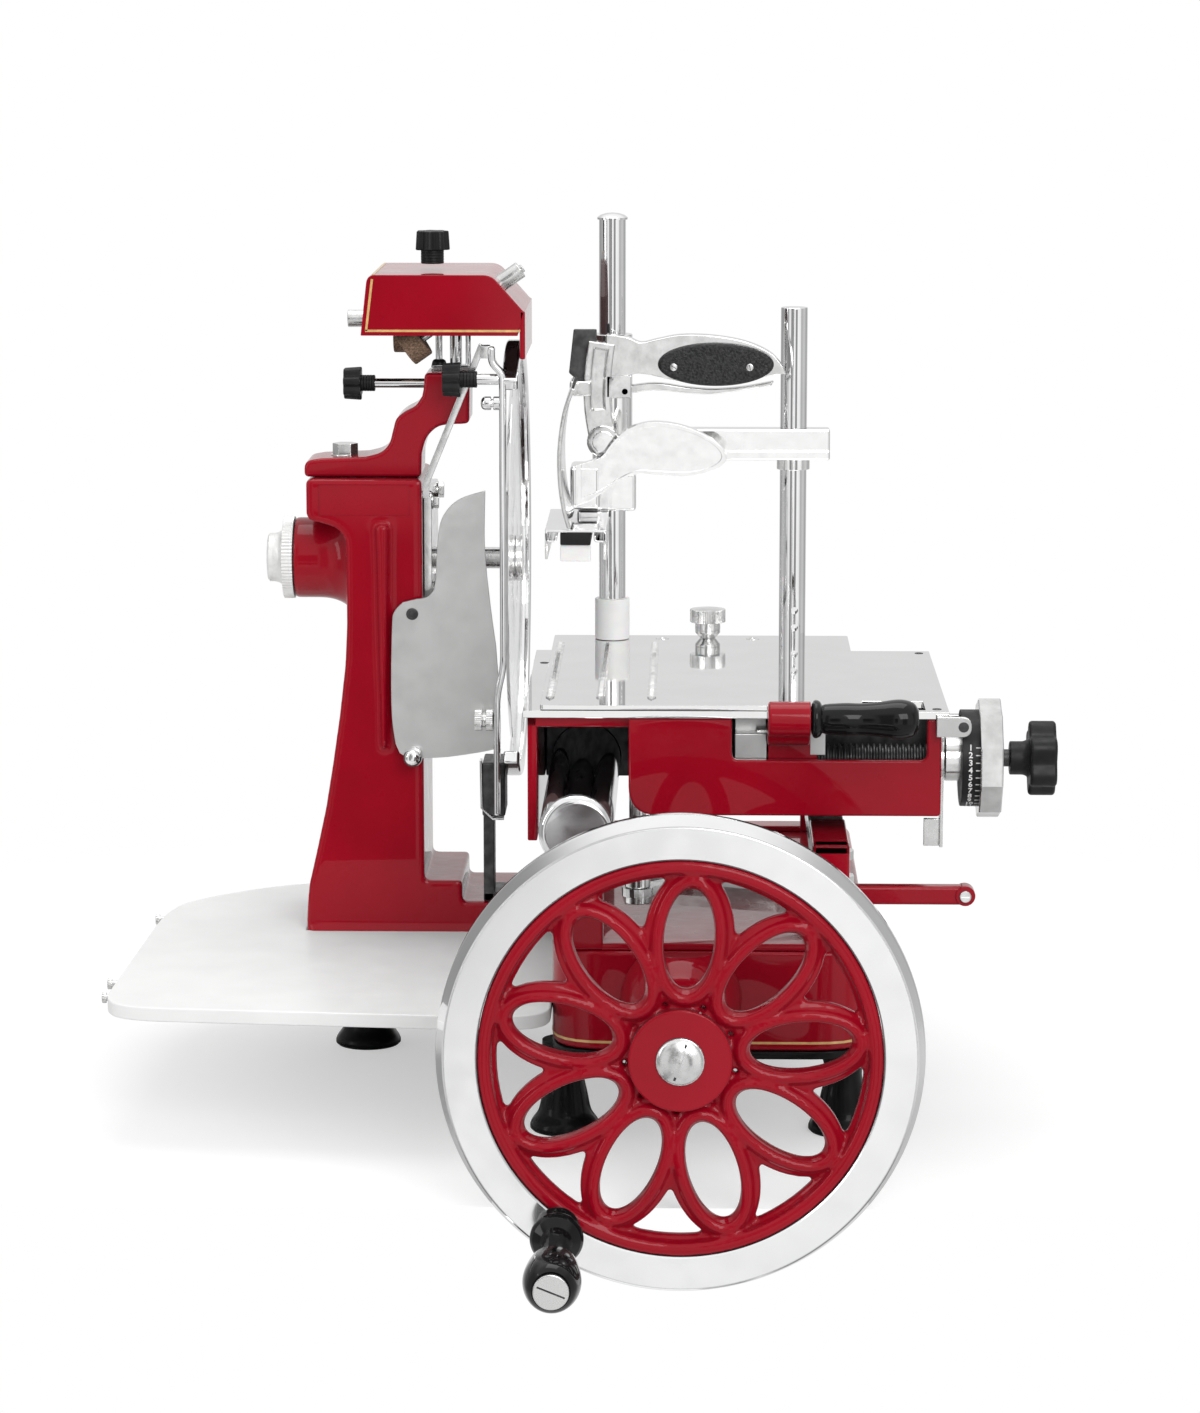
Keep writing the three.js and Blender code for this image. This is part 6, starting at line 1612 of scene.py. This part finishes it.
class SLICER_OT_presser(bpy.types.Operator):
    """Swinging presser: link, upper handle with its scale, curved plate and squeeze lever"""

    bl_idname = "slicer.presser"
    bl_label = "Presser"

    def execute(self, context):
        link_front = 222
        pivot_front = 240.5
        line = flowing([(22, 462), (18.5, 482), (17.5, 500), (19, 520), (21, 535)], 5)
        link = solid("presser_link", band(line, 20), "y", link_front + 2, pivot_front)
        carve(link, solid("link_pocket", band(line[6:-2], 10), "y", link_front, link_front + 4.4))
        soften(link, 1.4, 3, 40)
        boss = ring("presser_boss", 12, 5.3, link_front, pivot_front, "y", (22, 0, 462), 1.5)
        upper = flowing([(24, 509), (38, 510.5), (52, 512), (76, 507), (100, 505), (126, 506.5),
                         (148, 511.5),
                         (157, 512)], 4)
        upper += flowing([(155, 517), (147, 526.5), (134, 533.5), (118, 538), (98, 540.5), (78, 540.5),
                          (62, 537.5), (50, 535), (40, 539), (24, 541)], 4)
        handle = soften(solid("upper_handle", upper, "y", link_front + 3, pivot_front - 1), 4, 5, 40)
        lug = block("squeeze_lug", 24, 43, link_front + 2, link_front + 6, 494, 511, 1)
        tie = block("presser_tie", -2, 14, 198, 232, 498, 509, 2, 3)
        casting = joined("presser_casting", link, boss, handle, lug, tie)
        dress(casting, "presser", "cast_aluminium", ["presser_handle"])

        web = solid("presser_web", [(0, 544), (17, 544), (17, 481), (1, 508), (-3.5, 512)], "y", 232, 238)
        dress(soften(web, 0.8, 2), "presser", "dark_steel")
        scale = solid("handle_scale", ellipse(105, 519.3, 42.7, 15.8, 72), "y", link_front - 3,
                      link_front + 4)
        dress(soften(scale, 2.6, 4, 50), "presser", "pebble_black")
        screws, shades = [], []
        for number, x in enumerate((74, 130)):
            head = rod(f"scale_screw_{number}", 2.7, link_front - 3.6, link_front, "y", (x, 0, 517.5), 0.4)
            slot = placed(block(f"scale_slot_{number}", -2.4, 2.4, link_front - 5, link_front - 3.2, -0.35,
                                0.35, 0), (x, 0, 517.5), (0, 30 + 50 * number, 0))
            screws.append(carve(head, slot))
            shade = block(f"scale_slot_shade_{number}", -2.3, 2.3, link_front - 3.3, link_front - 2.6, -0.3,
                          0.3, 0)
            shades.append(placed(shade, (x, 0, 517.5), (0, 30 + 50 * number, 0)))
        dress(joined("scale_screws", *screws), "presser", "bright_steel")
        dress(joined("scale_slot_shades", *shades), "presser", "dark_steel")

        curve = flowing([(3, 512), (-3, 495), (-6.6, 470), (-6.4, 445), (-3.6, 425), (0, 412)], 6)
        sheet = soften(solid("presser_plate", band(curve, 3), "y", 111, 203), 0.8, 2, 50)
        dress(sheet, "presser", "cast_aluminium")

        blade = flowing([(36, 496), (60, 499.5), (88, 497), (110, 497.5), (146, 503)], 5)
        blade += flowing([(148, 506.5), (126, 502.5), (104, 500.8), (84, 502), (60, 505), (36, 502)], 5)
        squeeze = soften(solid("squeeze_blade", blade, "y", link_front + 6.3, pivot_front - 2), 1.2, 3, 50)
        pin = rod("squeeze_pin", 2.5, link_front + 2, pivot_front - 2, "y", (38, 0, 499), 0.3)
        dress(joined("squeeze_steel", squeeze, pin), "squeeze", "cast_aluminium", ["squeeze_lever"])
        return {"FINISHED"}


class SLICER_OT_stage(bpy.types.Operator):
    """Pale floor that ends behind the wheel, soft lamps, studio world and the camera"""

    bl_idname = "slicer.stage"
    bl_label = "Stage"

    # Brightness that mirrors see, by heading from the front in degrees, positive to the object's right
    surroundings = [(-180, 0.76), (-158, 0.72), (-140, 0.30), (-94, 0.42), (-58, 0.24), (-42, 0.80),
                    (-30, 0.95),
                    (-25, 0.25), (-13, 0.25), (-9, 1.0), (9, 1.0), (13, 0.30), (25, 0.25), (31, 1.0),
                    (55, 0.9), (64, 0.45), (94, 0.62), (130, 0.34), (155, 0.72), (180, 0.76)]
    # A dark flag in front of the machine's left half, by heading and by height of the sight line
    flag_headings = [(-10, 0), (-8, 1), (-3.2, 1), (-2.4, 0)]
    flag_heights = [(-13.4, 0), (-12.6, 1), (-7.6, 1), (-7.0, 0), (-5.6, 0), (-5.0, 1), (12, 1), (16, 0)]

    def ramp(self, tree, angle, stops, low, high):
        """Brightness against an angle in degrees, straight between its stops."""
        node = tree.nodes.new("ShaderNodeValToRGB")
        elements = node.color_ramp.elements
        shares = [(degrees - low) / (high - low) for degrees, level in stops]
        elements[0].position = shares[0]
        elements[1].position = shares[-1]
        for share in shares[1:-1]:
            elements.new(share)
        for element, (degrees, level) in zip(elements, stops):
            element.color = (level, level, level, 1)
        along = range_node(tree, angle, 0.0, 1.0, math.radians(low), math.radians(high))
        tree.links.new(along, node.inputs["Fac"])
        return node.outputs["Color"]

    def floor(self):
        """The floor keeps the object's shadow, and fades into the white round it."""
        object_mode()
        bpy.ops.object.select_all(action="DESELECT")
        bpy.ops.mesh.primitive_plane_add(size=1, location=(0, 0, 0))
        plane = bpy.context.object
        plane.name = "floor"
        plane.scale = (4, 2, 1)
        plane.location = (0, 1 - 0.196, 0)
        bpy.ops.object.transform_apply(location=True, rotation=True, scale=True)
        paper = bpy.data.materials.new("floor_paper")
        paper.use_nodes = True
        tree = paper.node_tree
        shader = tree.nodes["Principled BSDF"]
        shader.inputs["Base Color"].default_value = (0.60, 0.60, 0.60, 1)
        shader.inputs["Roughness"].default_value = 0.9
        shader.inputs["Specular IOR Level"].default_value = 0.0
        place = tree.nodes.new("ShaderNodeTexCoord").outputs["Object"]
        middle = tree.nodes.new("ShaderNodeVectorMath")
        middle.operation = "DISTANCE"
        middle.inputs[1].default_value = (0.0, 0.15, 0.0)
        tree.links.new(place, middle.inputs[0])
        fade_start, fade_end = 0.40, 0.95
        fade = range_node(tree, middle.outputs["Value"], 1.0, 0.0, fade_start, fade_end, "SMOOTHSTEP")
        tree.links.new(fade, shader.inputs["Alpha"])
        path = tree.nodes.new("ShaderNodeLightPath")
        lift = maths_node(tree, "MULTIPLY", path.outputs["Is Camera Ray"], 0.46)
        shader.inputs["Emission Color"].default_value = (1, 1, 1, 1)
        tree.links.new(lift, shader.inputs["Emission Strength"])
        plane.data.materials.append(paper)

    def world(self, context):
        """White to the camera; even light for paint; a soft studio for what mirrors it."""
        world = bpy.data.worlds.new("studio")
        context.scene.world = world
        world.use_nodes = True
        tree = world.node_tree
        background = tree.nodes["Background"]
        place = tree.nodes.new("ShaderNodeTexCoord")
        split = tree.nodes.new("ShaderNodeSeparateXYZ")
        tree.links.new(place.outputs["Generated"], split.inputs["Vector"])
        ahead = maths_node(tree, "MULTIPLY", split.outputs["Y"], -1.0)
        heading = maths_node(tree, "ARCTAN2", split.outputs["X"], ahead)
        rise = maths_node(tree, "ARCSINE", split.outputs["Z"])
        around = self.ramp(tree, heading, self.surroundings, -180, 180)
        above = range_node(tree, split.outputs["Z"], 0.0, 1.0, 0.45, 0.75, "SMOOTHSTEP")
        below = range_node(tree, split.outputs["Z"], 0.0, 1.0, -0.25, -0.45, "SMOOTHSTEP")
        studio = mix_node(tree, below, mix_node(tree, above, around, grey(1)), grey(0.7))
        flag = maths_node(tree, "MULTIPLY", self.ramp(tree, heading, self.flag_headings, -20, 20),
                          self.ramp(tree, rise, self.flag_heights, -20, 20))
        flagged = mix_node(tree, flag, studio, grey(0.06))
        path = tree.nodes.new("ShaderNodeLightPath")
        plain = mix_node(tree, path.outputs["Is Glossy Ray"], grey(0.76), flagged)
        seen = mix_node(tree, path.outputs["Is Camera Ray"], plain, (1, 1, 1, 1))
        tree.links.new(seen, background.inputs["Color"])
        background.inputs["Strength"].default_value = 1.0

    def lamp(self, name, spot, target, width, height, power):
        """A large soft lamp that looks at the target."""
        object_mode()
        bpy.ops.object.select_all(action="DESELECT")
        bpy.ops.object.light_add(type="AREA", location=spot)
        lamp = bpy.context.object
        lamp.name = name
        lamp.data.shape = "RECTANGLE"
        lamp.data.size = width
        lamp.data.size_y = height
        lamp.data.energy = power
        lamp.rotation_euler = (Vector(target) - Vector(spot)).to_track_quat("-Z", "Y").to_euler()

    def execute(self, context):
        self.floor()
        self.world(context)
        self.lamp("top_lamp", (0.1, 0.3, 2.4), (0.05, 0.1, 0.2), 1.6, 1.4, 15)
        self.lamp("front_lamp", (0.9, -2.4, 1.5), (0.05, 0.0, 0.25), 1.4, 1.4, 30)
        self.lamp("left_lamp", (-2.2, -0.9, 1.1), (0.0, 0.1, 0.3), 0.5, 1.6, 7)
        bpy.ops.object.camera_add(location=(0.090, -2.925, 0.809))
        camera = bpy.context.object
        camera.rotation_euler = (math.radians(90 - 9.829), 0, math.radians(1.279))
        camera.data.lens = 109.05
        camera.data.sensor_width = 36
        camera.data.clip_end = 50
        context.scene.camera = camera
        context.scene.view_settings.view_transform = "Standard"
        return {"FINISHED"}


class SLICER_PT_panel(bpy.types.Panel):
    """The slicer's sizes, colours and pieces"""

    bl_label = "Flywheel Slicer"
    bl_idname = "SLICER_PT_panel"
    bl_space_type = "VIEW_3D"
    bl_region_type = "UI"
    bl_category = "Slicer"

    def draw(self, context):
        layout = self.layout
        for group in (context.scene.slicer_sizes, context.scene.slicer_colours):
            for name in group.__annotations__:
                layout.prop(group, name)
        for operator in OPERATORS:
            layout.operator(operator.bl_idname)


OPERATORS = (
    SLICER_OT_stage, SLICER_OT_feet, SLICER_OT_base, SLICER_OT_flywheel_bearing, SLICER_OT_flywheel,
    SLICER_OT_crank_grip, SLICER_OT_drive_train, SLICER_OT_column, SLICER_OT_blade, SLICER_OT_guard,
    SLICER_OT_guide_plate, SLICER_OT_receiving_board, SLICER_OT_sharpener_arm, SLICER_OT_sharpener_head,
    SLICER_OT_knobs, SLICER_OT_stones, SLICER_OT_slide_ways, SLICER_OT_carriage, SLICER_OT_feed,
    SLICER_OT_table, SLICER_OT_release_lever, SLICER_OT_press, SLICER_OT_presser)
CLASSES = (SlicerSizes, SlicerColours, *OPERATORS, SLICER_PT_panel)


def register():
    """Registers the classes and their properties."""
    for cls in CLASSES:
        bpy.utils.register_class(cls)
    bpy.types.Scene.slicer_sizes = bpy.props.PointerProperty(type=SlicerSizes)
    bpy.types.Scene.slicer_colours = bpy.props.PointerProperty(type=SlicerColours)


def unregister():
    """Takes the classes and their properties away."""
    del bpy.types.Scene.slicer_colours
    del bpy.types.Scene.slicer_sizes
    for cls in reversed(CLASSES):
        bpy.utils.unregister_class(cls)


def main():
    register()
    for operator in OPERATORS:
        group, name = operator.bl_idname.split(".")
        getattr(getattr(bpy.ops, group), name)()
    object_mode()


if __name__ == "__main__":
    main()
